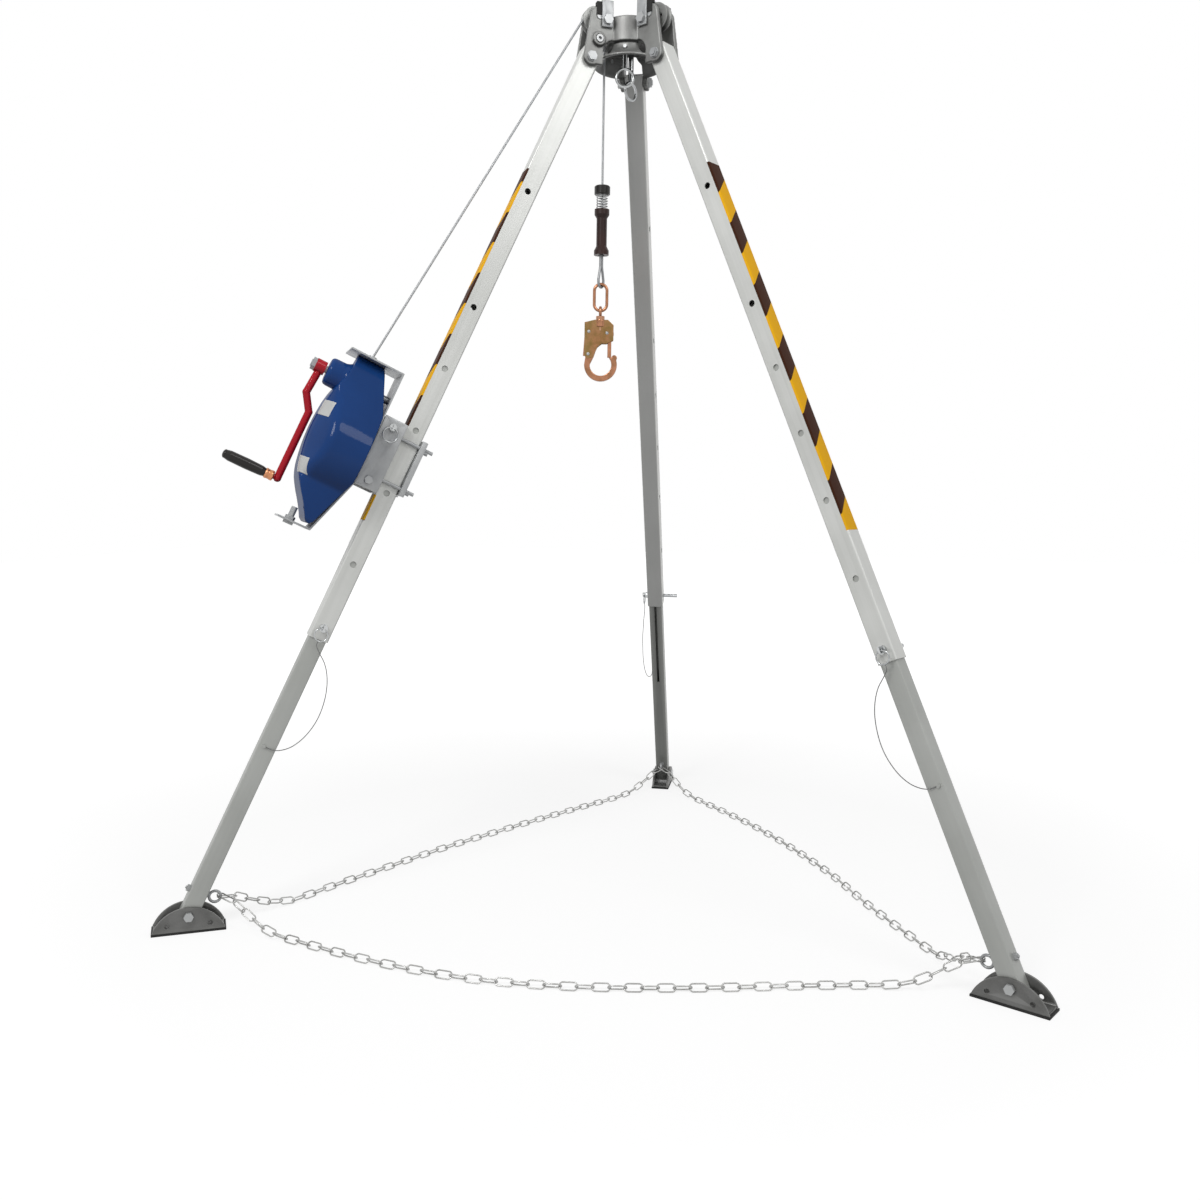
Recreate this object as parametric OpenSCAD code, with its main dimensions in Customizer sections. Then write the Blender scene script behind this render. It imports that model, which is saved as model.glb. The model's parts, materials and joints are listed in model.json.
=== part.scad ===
// Rescue tripod with a leg-mounted hand winch, a lifting line and a snap hook.
// Millimetres. +Z is up, the floor is z = 0, and the axis of the head passes through the origin.
// The back leg points along +Y, the left leg 120 degrees on, and the right leg 240 degrees on.

/* [Legs] */
// Angle of each leg from the vertical
leg_splay = 25; // [20:0.5:30]
// Distance along a leg from its hinge to its foot pivot
leg_length = 2070; // [2000:5:2200]
// Distance of each leg hinge from the head's axis
hinge_r = 100; // [96:1:110]
// Side of the square upper tube
upper_w = 44.5; // [42:0.5:48]
// Wall of the upper tube
upper_wall = 3; // [2:0.25:4]
// Wall of the lower tube
lower_wall = 3; // [2:0.25:4]
// Sliding clearance between the tubes, each side
tube_gap = 0.25; // [0.2:0.05:0.6]
// Corner radius of the upper tube
tube_corner = 4; // [3:0.5:6]
// Distance from the hinge to the upper tube's lower end
upper_end = 1425; // [1420:5:1440]
// Length of the upper tube above the hinge
upper_head = 18; // [12:1:22]
// Distance from the hinge to the lower tube's top
lower_top = 700; // [640:10:760]
// How far the lower tube slides up into the upper tube
leg_travel = 151; // [150:1:200]

/* [Lock pins] */
// Distance from the hinge to the hole that holds the pin
pin_s = 1398; // [1390:1:1400]
// Pitch of the height holes
hole_pitch = 151; // [140:1:156]
// Distance from the hinge to the lowest hole of the upper row
hole_row_s = 1076; // [1060:1:1090]
// Distance from the hinge to the single top hole
hole_top_s = 336; // [320:1:350]
// Diameter of a lock pin
pin_d = 10; // [8:0.5:11]
// Length of the pin that stands out beyond the tube
pin_tail = 42; // [30:1:50]
// Mean radius of the pin's pull ring
pin_ring_r = 14; // [12:0.5:16]
// Diameter of the lanyard wire
lanyard_d = 2; // [1.5:0.1:2.5]

/* [Feet] */
// Height of the foot pivot above the floor
foot_pivot_h = 36.5; // [34:0.5:40]
// Length of a foot plate along the floor
foot_len = 148; // [130:1:160]
// Height of a foot plate
foot_h = 51; // [46:1:54]
// Thickness of the foot plates
foot_plate = 6; // [4:0.5:7]
// Thickness of the rubber sole
sole_t = 5; // [4:0.5:6]
// Diameter of the foot pivot bolt
foot_bolt_d = 12; // [10:0.5:13]
// Distance of the chain eye above the foot pivot, along the leg
eye_rise = 50; // [46:1:60]
// Mean radius of the chain eye
eye_r = 12; // [11:0.5:14]
// Wire diameter of the chain eye
eye_wire = 6; // [5:0.5:6]

/* [Chains] */
// Inside length of a chain link
link_in = 32; // [28:1:36]
// Inside width of a chain link
link_gap = 12; // [11:0.5:13]
// Bar width of a chain link
link_wire = 4; // [3:0.5:4.5]
// Bar thickness of a chain link
link_t = 2.6; // [2.5:0.1:3]

/* [Head] */
// Thickness of an ear of the head
ear_t = 10; // [8:0.5:11]
// Side clearance between a leg and its ears
ear_gap = 1; // [0.6:0.1:1.5]
// Radius of the hub barrel
barrel_r = 60; // [57:1:63]
// Height of the barrel's top above the hinges
barrel_top = 92; // [88:1:96]
// Radius of the skirt's rim
skirt_r = 80; // [77:1:82]
// Diameter of the leg hinge bolts
hinge_bolt_d = 12; // [10:0.5:14]
// Distance of the sheave axles from the head's axis
sheave_c_r = 83; // [82:0.5:85]
// Height of the sheave axles above the hinges
sheave_c_h = 88; // [86:0.5:91]
// Outer radius of a sheave
sheave_r = 30; // [29:0.5:31]
// Radius at which the line runs on a sheave
sheave_line_r = 24; // [23:0.5:25]
// Width of a sheave's rim
sheave_w = 20; // [16:1:26]
// Inside radius of an anchor eye
anchor_in_r = 16.5; // [14:0.5:18]
// Bar thickness of an anchor eye
anchor_bar = 6; // [5:0.5:7]

/* [Line and hook] */
// Diameter of the steel line
line_d = 5; // [4:0.5:5.5]
// Depth of the line grip's top below the sheave axle
line_drop = 409; // [380:1:440]
// Length of the line grip
grip_len = 102; // [94:1:110]
// Height of the bumper spring
spring_h = 32; // [30:1:36]
// Turns of the bumper spring
spring_turns = 5; // [4:1:5]
// Wire diameter of the bumper spring
spring_wire = 2.4; // [2:0.1:2.6]
// Height of the bumper collar
collar_h = 20; // [16:1:24]
// Bar thickness of the oval link
oval_bar = 7; // [6:0.25:7.5]
// Thickness of the hook's body
hook_t = 14; // [12:0.5:16]

/* [Winch] */
// Distance from the hinge to the crank's axis
crank_s = 892; // [890:1:894]
// Tooth module of the gears
gear_module = 3.5; // [3.4:0.05:3.6]
// Teeth on the crank pinion
pinion_teeth = 18; // [18:1:18]
// Teeth on the drum gear
drum_teeth = 50; // [50:1:50]
// Wall of the winch housing
housing_wall = 3; // [2:0.25:4]
// Thickness of the winch frame's sheet
frame_t = 4; // [3:0.5:4.5]
// Width of the winch frame
frame_w = 100; // [96:1:110]
// Length of the crank arm between its axes
crank_len = 254; // [240:1:260]
// Diameter of the crank's bar
crank_bar = 16; // [14:0.5:18]
// Length of the crank's grip
crank_grip_len = 88; // [80:1:95]
// Distance of the winch frame from the leg's axis
frame_n = 76; // [74:0.5:80]

/* [Hidden] */
$fn = 48;

// Azimuth of each leg, in the order back, left, right
BACK = 90;
LEFT = 210;
RIGHT = 330;
leg_angles = [BACK, LEFT, RIGHT];

// Running clearance of a pin or shaft in its hole, on the radius
run = 0.05;
// Gap between curved faces of neighbours
air = 0.3;
// Overshoot of a cutter past the face that it cuts
cut = 1;

hinge_z = foot_pivot_h + leg_length * cos(leg_splay);
foot_r = hinge_r + leg_length * sin(leg_splay);
upper_bore = upper_w - 2 * upper_wall;
lower_w = upper_bore - 2 * tube_gap;
lower_corner = tube_corner - upper_wall / 2;
eye_s = leg_length - eye_rise;
pin_hole_r = pin_d / 2 + run;
height_hole_r = pin_d / 2 + 2;
height_holes = concat([hole_top_s], [for (k = [0:3]) hole_row_s - k * hole_pitch],
    [pin_s - hole_pitch, pin_s]);

// A point of a leg's own frame, [outward, sideways, down the leg], in the row's frame
function leg_point(a, p) =
    let (r = hinge_r + p[0] * cos(leg_splay) + p[2] * sin(leg_splay),
         z = hinge_z + p[0] * sin(leg_splay) - p[2] * cos(leg_splay))
    [r * cos(a) - p[1] * sin(a), r * sin(a) + p[1] * cos(a), z];

// Places its children in a leg's frame: X outward, Y sideways, Z up the leg from the hinge
module on_leg(a) {
    rotate([0, 0, a]) translate([hinge_r, 0, hinge_z]) rotate([0, -leg_splay, 0]) children();
}

// Places its children at a leg's bearing on the head: X outward, Y sideways, Z up from the hinges
module on_head(a) {
    rotate([0, 0, a]) translate([0, 0, hinge_z]) children();
}

// A round bar from p to q
module bar(p, q, r) {
    v = q - p;
    translate(p) rotate([0, acos(v[2] / norm(v)), atan2(v[1], v[0])]) cylinder(r = r, h = norm(v));
}

// A round bar through a list of points, with a slightly larger ball at each bend
bend_ball = 1.04;
module bent_bar(points, r) {
    for (i = [1:len(points) - 1]) bar(points[i - 1], points[i], r);
    for (i = [1:1:len(points) - 2]) translate(points[i]) sphere(r = bend_ball * r);
}

// A cylinder along the sideways axis, from y0 to y1
module across(y0, y1, r) {
    translate([0, y1, 0]) rotate([90, 0, 0]) cylinder(r = r, h = y1 - y0);
}

// A hexagon prism along the sideways axis, from y0 to y1, sized across its flats
module hex_across(y0, y1, flats) {
    translate([0, y1, 0]) rotate([90, 0, 0]) cylinder(d = flats / cos(30), h = y1 - y0, $fn = 6);
}

// A square with round corners, centred
module round_square(w, r) {
    square([w, w - 2 * r], center = true);
    square([w - 2 * r, w], center = true);
    for (x = [-1, 1], y = [-1, 1]) translate([x, y] * (w / 2 - r)) circle(r);
}

// A flat-sided chain link in the XZ plane, inside length along Z
module chain_link(inside_len, inside_w, bar, thick) {
    translate([0, thick / 2, 0]) rotate([90, 0, 0]) linear_extrude(thick) difference() {
        slot_shape(inside_len - inside_w, inside_w / 2 + bar);
        slot_shape(inside_len - inside_w, inside_w / 2);
    }
}

// A slot shape along Y with round ends
module slot_shape(straight, r) {
    square([2 * r, straight], center = true);
    for (y = [-1, 1]) translate([0, y * straight / 2]) circle(r, $fn = 32);
}

// A closed ring of round bar, its axis along Z
module ring(mean_r, bar_r) {
    rotate_extrude() translate([mean_r, 0]) circle(bar_r);
}

// An oval link of round bar in the XZ plane, inside length along Z
module oval(inside_len, inside_w, bar_d) {
    bend_r = (inside_w + bar_d) / 2;
    straight = inside_len - inside_w;
    for (m = [0, 1]) mirror([0, 0, m]) translate([0, 0, straight / 2]) rotate([90, 0, 0])
        rotate_extrude(angle = 180) translate([bend_r, 0]) circle(bar_d / 2, $fn = 24);
    for (x = [-1, 1]) translate([x * bend_r, 0, -straight / 2]) cylinder(d = bar_d, h = straight, $fn = 24);
}

// Unit vector along v
function unit(v) = v / norm(v);

// Directions along a route at each of its points
function route_tangents(p) = [for (i = [0:len(p) - 1])
    unit(p[min(i + 1, len(p) - 1)] - p[max(i - 1, 0)])];

// A closed tube of triangles swept along a route; refs holds a direction across the route at each point
module swept_tube(route, r, sides, refs) {
    tangents = route_tangents(route);
    rings = len(route);
    points = [for (i = [0:rings - 1])
        let (a = unit(cross(tangents[i], refs[i])), b = cross(tangents[i], a))
        for (k = [0:sides - 1]) route[i] + r * (cos(360 * k / sides) * a + sin(360 * k / sides) * b)];
    sides_faces = [for (i = [0:rings - 2], k = [0:sides - 1], half = [0, 1])
        let (n = (k + 1) % sides, p = i * sides, q = p + sides)
        half == 0 ? [p + k, q + k, q + n] : [p + k, q + n, p + n]];
    start_faces = [for (k = [1:sides - 2]) [0, k, k + 1]];
    last = (rings - 1) * sides;
    end_faces = [for (k = [1:sides - 2]) [last, last + k + 1, last + k]];
    polyhedron(points, concat(sides_faces, start_faces, end_faces));
}

// Legs

module square_tube(w, corner, wall, s0, s1) {
    translate([0, 0, -s1]) linear_extrude(s1 - s0) difference() {
        round_square(w, corner);
        round_square(w - 2 * wall, max(corner - wall, 0.5));
    }
}

module upper_leg(a) {
    color("gainsboro") on_leg(a) difference() {
        square_tube(upper_w, tube_corner, upper_wall, -upper_head, upper_end);
        across(-upper_w, upper_w, hinge_bolt_d / 2 + run);
        for (s = height_holes) translate([0, 0, -s])
            across(-upper_w, upper_w, s == pin_s ? pin_hole_r : height_hole_r);
    }
}

// The guide slot shows on the lower tube's inward face, below the upper tube's end
slot_w = 7;
slot_end_s = pin_s + 2 * hole_pitch;
// Clear width of the slots that let the tube slide past its pin
pin_slot_w = pin_d + 2 * air;
lower_end = leg_length + 16;
tab_r = 4;
tab_h = 4;
tab_n = 8;
tab_s = upper_end + leg_travel + tab_r + 100;

module lower_leg(a, side) {
    color("darkgray") on_leg(a) {
        difference() {
            square_tube(lower_w, lower_corner, lower_wall, lower_top, lower_end);
            translate([-pin_slot_w / 2, -lower_w, -pin_s - leg_travel])
                cube([pin_slot_w, 2 * lower_w, leg_travel]);
            for (s = [pin_s, pin_s + leg_travel])
                translate([0, 0, -s]) across(-lower_w, lower_w, pin_slot_w / 2);
            translate([-lower_w, -slot_w / 2, -slot_end_s])
                cube([lower_w - lower_wall, slot_w, slot_end_s - pin_s]);
            translate([0, 0, -leg_length]) across(-lower_w, lower_w, foot_bolt_d / 2 + run);
            translate([-lower_w, 0, -eye_s]) rotate([0, 90, 0])
                cylinder(d = eye_wire + 2 * run, h = 2 * lower_w);
        }
        translate([tab_n, side * (lower_w / 2 + tab_h / 2), -tab_s]) across(-tab_h / 2, tab_h / 2, tab_r);
    }
}

// Lock pins

pin_head_r = 9;
pin_head_len = 7;
tang_len = 10;
tang_t = 4;
tang_w = 14;
pin_eye_r = 3;
ring_wire = 3;
pin_face = upper_w / 2 + air;
pin_eye_t = pin_face + pin_head_len + tang_len / 2;
// The ring hangs on the lower wall of the eye through the pin's head
ring_s = pin_s + pin_eye_r - ring_wire / 2 - air + pin_ring_r;

module lock_pin(a, side) {
    color("silver") on_leg(a) scale_side(side) {
        translate([0, 0, -pin_s]) difference() {
            union() {
                across(-upper_w / 2 - pin_tail, pin_face, pin_d / 2);
                across(pin_face, pin_face + pin_head_len, pin_head_r);
                translate([-tang_t / 2, pin_face + pin_head_len - cut, -tang_w / 2])
                    cube([tang_t, tang_len + cut, tang_w]);
            }
            translate([-tang_t, pin_eye_t, 0]) rotate([0, 90, 0]) cylinder(r = pin_eye_r, h = 2 * tang_t);
        }
        translate([0, pin_eye_t, -ring_s]) rotate([90, 0, 0]) ring(pin_ring_r, ring_wire / 2);
    }
}

// Turns its children to the other side of the leg where side is -1
module scale_side(side) {
    mirror([0, side < 0 ? 1 : 0, 0]) children();
}

// Lanyard route in the leg's frame: outward, sideways, down the leg, from the ring to the tab
lanyard_start_s = ring_s + pin_ring_r + ring_wire / 2 + air;
lanyard_route = [
    [0, pin_eye_t, lanyard_start_s],
    [-1, 34.4, 1438], [-13, 34, 1450], [-31, 34.5, 1465], [-46, 35, 1485], [-58, 36, 1511],
    [-66, 36, 1542], [-69, 36, 1575], [-66, 35, 1606], [-57, 33, 1636], [-43, 30, 1660],
    [-26, 26, 1675], [-10, 23, 1681],
    [tab_n - tab_r - 2 * air, lower_w / 2 + tab_h / 2, tab_s]];

module lanyard(a, side) {
    route = [for (p = lanyard_route) [p[0], side * p[1], -p[2]]];
    color("dimgray") on_leg(a) swept_tube(route, lanyard_d / 2, 8, [for (p = route) [1, 0, 0]]);
}

// Feet

foot_gap = 0.5;
foot_inner = lower_w / 2 + foot_gap;
foot_outer = foot_inner + foot_plate;
foot_arc_r = (foot_len * foot_len / 4 + foot_h * foot_h) / (2 * foot_h);
foot_base = sole_t - foot_pivot_h;
foot_floor_t = 5;
stake_x = 43;
stake_z = 14;
stake_r = 5;
sole_lip = 1.5;

// Places its children at a foot: X outward, Y sideways, Z up from the foot pivot
module on_foot(a) {
    rotate([0, 0, a]) translate([foot_r, 0, foot_pivot_h]) children();
}

module foot(a) {
    color("gray") on_foot(a) difference() {
        union() {
            for (m = [0, 1]) mirror([0, m, 0]) translate([0, foot_outer, 0]) rotate([90, 0, 0])
                linear_extrude(foot_plate) intersection() {
                    translate([0, foot_base + foot_h - foot_arc_r]) circle(foot_arc_r, $fn = 96);
                    translate([-foot_len, foot_base]) square([2 * foot_len, foot_h + cut]);
                }
            translate([-foot_len / 2 + 2, -foot_inner - cut, foot_base])
                cube([foot_len - 4, 2 * foot_inner + 2 * cut, foot_floor_t]);
        }
        across(-2 * foot_outer, 2 * foot_outer, foot_bolt_d / 2 + run);
        for (x = [-1, 1]) translate([x * stake_x, 0, foot_base + stake_z])
            across(-2 * foot_outer, 2 * foot_outer, stake_r);
    }
}

module sole(a) {
    color("black") on_foot(a)
        translate([-foot_len / 2 - sole_lip, -foot_outer - sole_lip, -foot_pivot_h])
            cube([foot_len + 2 * sole_lip, 2 * foot_outer + 2 * sole_lip, sole_t]);
}

bolt_head_h = 7;
foot_bolt_flats = 18;

module foot_bolt(a) {
    color("silver") on_foot(a) {
        across(-foot_outer - bolt_head_h, foot_outer + bolt_head_h / 2, foot_bolt_d / 2);
        for (m = [0, 1]) mirror([0, m, 0])
            hex_across(foot_outer, foot_outer + bolt_head_h, foot_bolt_flats);
    }
}

eye_neck = 5;
eye_n = -lower_w / 2 - eye_neck - eye_r;
eye_nut_h = 7;
eye_nut_flats = 13;

module chain_eye(a) {
    color("silver") on_leg(a) translate([0, 0, -eye_s]) {
        bar([eye_n + eye_r, 0, 0], [lower_w / 2 + eye_nut_h + 3, 0, 0], eye_wire / 2);
        for (x = [-lower_w / 2 - 3, lower_w / 2]) translate([x, 0, 0]) rotate([0, 90, 0])
            cylinder(d = eye_nut_flats / cos(30), h = x < 0 ? 3 : eye_nut_h, $fn = 6);
        translate([eye_n, 0, 0]) rotate([90, 0, 0]) ring(eye_r, eye_wire / 2);
    }
}

// Chains between the feet, lying on the floor

// Where a chain's first link grips an eye's bar: one chain a little above its middle, one below
eye_step = 12;
function eye_grip(a, up) =
    leg_point(a, [eye_n, 0, eye_s])
    + eye_r * [-cos(eye_step) * cos(a), -cos(eye_step) * sin(a), up * sin(eye_step)];

// Height of a chain's centre when its links lie rolled on the floor
chain_z = ((link_gap + 2 * link_wire) / 2 + link_t / 2) * sin(45) + air;

// Points of a chain that leaves its eye along a heading and comes down to the floor
function chain_lead(g, heading) =
    [for (q = [[0, g[2]], [34, g[2] - 6], [72, g[2] - 24], [112, 24], [152, 13]])
        [g[0] + q[0] * cos(heading), g[1] + q[0] * sin(heading), q[1]]];

// Floor points between two leads, in order from the first to the last
function chain_route(first, floor_points, last) = concat(first,
    [for (q = floor_points) [q[0], q[1], chain_z]], [for (i = [len(last) - 1:-1:0]) last[i]]);

chain_routes = [
    chain_route(chain_lead(eye_grip(LEFT, 1), -18),
        [[-600, -512], [-470, -556], [-320, -596], [-160, -617], [0, -611], [150, -587], [300, -553],
            [450, -512], [590, -480]],
        chain_lead(eye_grip(RIGHT, 1), 188)),
    chain_route(chain_lead(eye_grip(BACK, -1), 236),
        [[-125, 720], [-210, 590], [-310, 430], [-405, 270], [-493, 115], [-570, -40], [-640, -180],
            [-690, -290]],
        chain_lead(eye_grip(LEFT, -1), 60)),
    chain_route(chain_lead(eye_grip(BACK, 1), 314),
        [[140, 760], [235, 640], [340, 490], [440, 320], [525, 150], [592, -20], [655, -160], [712, -280]],
        chain_lead(eye_grip(RIGHT, -1), 113))];

// A smooth curve through a route's points, kept off the floor
curve_steps = 5;
function curve_point(p0, p1, p2, p3, t) = (2 * p1 + (p2 - p0) * t + (2 * p0 - 5 * p1 + 4 * p2 - p3) * t * t
    + (3 * p1 - 3 * p2 + p3 - p0) * t * t * t) / 2;
function smooth_route(p) = concat(
    [for (i = [0:len(p) - 2], k = [0:curve_steps - 1])
        let (q = curve_point(p[max(i - 1, 0)], p[i], p[i + 1], p[min(i + 2, len(p) - 1)], k / curve_steps))
        [q[0], q[1], max(q[2], chain_z)]],
    [p[len(p) - 1]]);

// Distance along a route at each of its points
function route_lengths(p, i = 0, sum = 0) = i == len(p) - 1 ? [sum] :
    concat([sum], route_lengths(p, i + 1, sum + norm(p[i + 1] - p[i])));

// Play between the links of a chain
link_play = 0.88;
// Distance from the middle of an eye's bar to the inside end of the link on it
eye_play = eye_wire / 2 + 1.1;
// Links at each end over which the chain turns from flat at its eye to rolled on the floor
twist_links = 4;

// A route carried straight on at both ends, by a length
function extended(p, by) = let (n = len(p) - 1) concat([p[0] + by * unit(p[0] - p[1])],
    [for (i = [1:n - 1]) p[i]], [p[n] + by * unit(p[n] - p[n - 1])]);

// The end links are a little longer, to take up what is left of the route's length
module chain(points) {
    route = extended(smooth_route(points), eye_play);
    at = route_lengths(route);
    table = [for (k = [0:2]) [for (i = [0:len(route) - 1]) [at[i], route[i][k]]]];
    span = at[len(at) - 1];
    step = link_in - link_play;
    count = floor(span / step);
    spare = (span - count * step) / 2;
    for (i = [0:count - 1]) {
        start = i == 0 ? 0 : spare + i * step;
        end = i == count - 1 ? span : spare + (i + 1) * step;
        p = [for (t = table) lookup(start, t)];
        q = [for (t = table) lookup(end, t)];
        v = q - p;
        to_end = count - 1 - i;
        end_turn = count % 2 == 1 ? -45 : 45;
        twist = 45 * min(1, i / twist_links) + end_turn * max(0, 1 - to_end / twist_links);
        translate((p + q) / 2) rotate([0, acos(v[2] / norm(v)), atan2(v[1], v[0])])
            rotate([0, 0, 90 * ((i + 1) % 2) + twist])
                chain_link(end - start + link_play, link_gap, link_wire, link_t);
    }
}

module foot_chains() {
    color("silver") for (route = chain_routes) chain(route);
}

// Head

ear_inner = upper_w / 2 + ear_gap;
ear_outer = ear_inner + ear_t;
hinge_boss_r = 18;
sheave_boss_r = 21;
ear_root_r = 20;
ear_top = sheave_c_h + sheave_boss_r;
ear_top_r = barrel_r + 10;
deck_z = 44;
deck_t = 6;
deck_low = deck_z - deck_t;
// The skirt is a cove round a circle that lies outside its rim
cove_r = 32;
cove_c_r = skirt_r + 4;
skirt_wall = 6;
skirt_low = deck_low - cove_r - skirt_wall;
slot_r = 45;
barrel_wall = 8;
// Rounded opening below the barrel, cut from the inner foot of each ear
arch_r = 48;
arch_w = 26;
arch_z = 10;
arch_h = deck_low + 2 - arch_z;
arch_steps = 6;
keeper_r = 66;
keeper_z = 80;
stop_r = 85;
stop_z = 37.5;
stop_boss_r = 15;
stop_boss_h = 8;
stop_screw_r = 8;
stop_screw_h = 6;
plug_r = 4;
sheave_axle_d = 12;
keeper_bolt_d = 12;
anchor_d = 12;
anchor_pos_r = 20;
anchor_bearings = [255, 83];
anchor_turns = [10, 60];
anchor_drops = [29, 46];

module ear_outline() {
    translate([hinge_r, 0]) circle(hinge_boss_r);
    translate([sheave_c_r, sheave_c_h]) circle(sheave_boss_r);
    arch = [for (k = [0:arch_steps]) let (q = 90 * k / arch_steps)
        [arch_r + arch_w * sin(q), arch_z + arch_h * cos(q)]];
    polygon(concat([[ear_root_r, arch_z + arch_h]], arch,
        [[arch_r + arch_w, -hinge_boss_r + 2], [hinge_r - 10, -hinge_boss_r + 2], [hinge_r, -hinge_boss_r],
        [hinge_r + hinge_boss_r, 0], [sheave_c_r + sheave_boss_r, sheave_c_h], [sheave_c_r, ear_top],
        [ear_top_r, ear_top], [barrel_r, barrel_top - 2], [ear_root_r, barrel_top - 2]]));
}

module skirt() {
    rotate_extrude($fn = 96) intersection() {
        translate([cove_c_r, deck_low]) difference() {
            circle(cove_r + skirt_wall, $fn = 96);
            circle(cove_r, $fn = 96);
        }
        translate([ear_root_r, skirt_low]) square([skirt_r - ear_root_r, deck_low - skirt_low + deck_t / 2]);
    }
}

module head_casting() {
    color("gray") translate([0, 0, hinge_z]) difference() {
        union() {
            difference() {
                union() {
                    skirt();
                    translate([0, 0, deck_low]) cylinder(r = barrel_r, h = barrel_top - deck_low, $fn = 96);
                }
                for (a = leg_angles) rotate([0, 0, a]) translate([slot_r, -ear_inner, skirt_low - cut])
                    cube([skirt_r, 2 * ear_inner, barrel_top - skirt_low + 2 * cut]);
            }
            for (a = leg_angles) rotate([0, 0, a]) {
                for (m = [0, 1]) mirror([0, m, 0]) translate([0, ear_outer, 0]) rotate([90, 0, 0])
                    linear_extrude(ear_t) ear_outline();
                translate([stop_r, 0, stop_z]) across(ear_outer - cut, ear_outer + stop_boss_h, stop_boss_r);
            }
        }
        translate([0, 0, deck_z + deck_t]) cylinder(r = barrel_r - barrel_wall, h = barrel_top, $fn = 96);
        for (a = leg_angles) rotate([0, 0, a]) {
            translate([hinge_r, 0, 0]) across(-2 * ear_outer, 2 * ear_outer, hinge_bolt_d / 2 + run);
            translate([sheave_c_r, 0, sheave_c_h])
                across(-2 * ear_outer, 2 * ear_outer, sheave_axle_d / 2 + run);
            translate([keeper_r, 0, keeper_z])
                across(-2 * ear_outer, 2 * ear_outer, keeper_bolt_d / 2 + run);
            translate([stop_r, 0, stop_z]) across(ear_outer + stop_boss_h - stop_screw_h,
                ear_outer + stop_boss_h + cut, stop_screw_r + run);
            rotate([0, 0, 60]) translate([0, 0, plug_z]) rotate([0, 90, 0])
                cylinder(r = plug_r + run, h = skirt_r);
        }
        for (a = anchor_bearings) rotate([0, 0, a]) translate([anchor_pos_r, 0, 0])
            cylinder(d = anchor_d + 2 * run, h = deck_z + deck_t + cut);
    }
}

// Round plugs in the arches between the ears, and the leg stop screws in their bosses
plug_z = 26;
plug_face_r = cove_c_r - sqrt(cove_r * cove_r - (deck_low - plug_z) * (deck_low - plug_z));
plug_root_r = plug_face_r - skirt_wall;
socket_flats = 7;

module head_screws() {
    color("lightgray") for (a = leg_angles) on_head(a) {
        rotate([0, 0, 60]) translate([plug_root_r, 0, plug_z]) rotate([0, 90, 0])
            cylinder(r = plug_r, h = skirt_wall + 5);
        translate([stop_r, ear_outer + stop_boss_h, stop_z]) difference() {
            across(-stop_screw_h, 2, stop_screw_r);
            hex_across(-stop_screw_h / 2, 2 + cut, socket_flats);
        }
    }
}

hinge_nut_flats = 18;

module hinge_bolts() {
    color("silver") for (a = leg_angles) on_head(a) translate([hinge_r, 0, 0]) {
        across(-ear_outer - bolt_head_h - 2, ear_outer + bolt_head_h, hinge_bolt_d / 2);
        for (m = [0, 1]) mirror([0, m, 0]) {
            across(ear_outer, ear_outer + 2, hinge_nut_flats * 0.62);
            hex_across(ear_outer + 2, ear_outer + bolt_head_h, hinge_nut_flats);
        }
    }
}

module sheave_axles() {
    color("silver") for (a = leg_angles) on_head(a) translate([sheave_c_r, 0, sheave_c_h])
        across(-ear_outer - 1, ear_outer + 1, sheave_axle_d / 2);
}

// The keeper straps bridge each pair of ears above the sheave
strap_t = 3.5;
strap_w = 26;
strap_top = sheave_c_h + sheave_r + strap_t + 0.5;
strap_low = keeper_z - 15;
liner_t = 3;
strap_in = ear_outer + liner_t;
strap_out = strap_in + strap_t;

module keeper_straps() {
    color("lightgray") for (a = leg_angles) on_head(a) difference() {
        translate([keeper_r - strap_w / 2, -strap_out, strap_low])
            cube([strap_w, 2 * strap_out, strap_top - strap_low]);
        translate([keeper_r - strap_w, -strap_in, strap_low - cut])
            cube([2 * strap_w, 2 * strap_in, strap_top - strap_t - strap_low + cut]);
        translate([keeper_r, 0, keeper_z]) across(-2 * strap_out, 2 * strap_out, keeper_bolt_d / 2 + run);
    }
}

keeper_flats = 19;

module keeper_bolts() {
    color("silver") for (a = leg_angles, m = [0, 1]) on_head(a) mirror([0, m, 0])
        translate([keeper_r, 0, keeper_z]) {
            across(ear_inner + 0.5, strap_out, keeper_bolt_d / 2);
            hex_across(strap_out, strap_out + bolt_head_h, keeper_flats);
            // Rubber-backed spacer between the ear and the strap
            difference() {
                across(ear_outer, strap_in, strap_w / 2 - 2);
                across(ear_outer - cut, strap_in + cut, keeper_bolt_d / 2);
            }
        }
}

anchor_mean_r = anchor_in_r + anchor_bar / 2;
anchor_land = 3;
anchor_nut_h = 9;
anchor_nut_flats = 18;

module anchor_eyebolts() {
    color("silver") for (i = [0, 1])
        translate([0, 0, hinge_z]) rotate([0, 0, anchor_bearings[i]]) translate([anchor_pos_r, 0, 0])
            rotate([0, 0, anchor_turns[i] - anchor_bearings[i]]) {
                translate([0, 0, -anchor_drops[i]]) rotate([90, 0, 0]) rotate_extrude($fn = 96) {
                    translate([anchor_mean_r, 0]) circle(anchor_bar / 2);
                    translate([anchor_in_r, -anchor_land / 2]) square([anchor_bar / 2, anchor_land]);
                }
                translate([0, 0, -anchor_drops[i] + anchor_mean_r]) cylinder(d = anchor_d,
                    h = anchor_drops[i] - anchor_mean_r + deck_z + deck_t + anchor_nut_h + 2);
                translate([0, 0, deck_z + deck_t])
                    cylinder(d = anchor_nut_flats / cos(30), h = anchor_nut_h, $fn = 6);
            }
}

groove_r = line_d / 2 + 0.3;
sheave_hub_r = 10;
sheave_hole_c = 15;
sheave_hole_r = 3;

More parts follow.
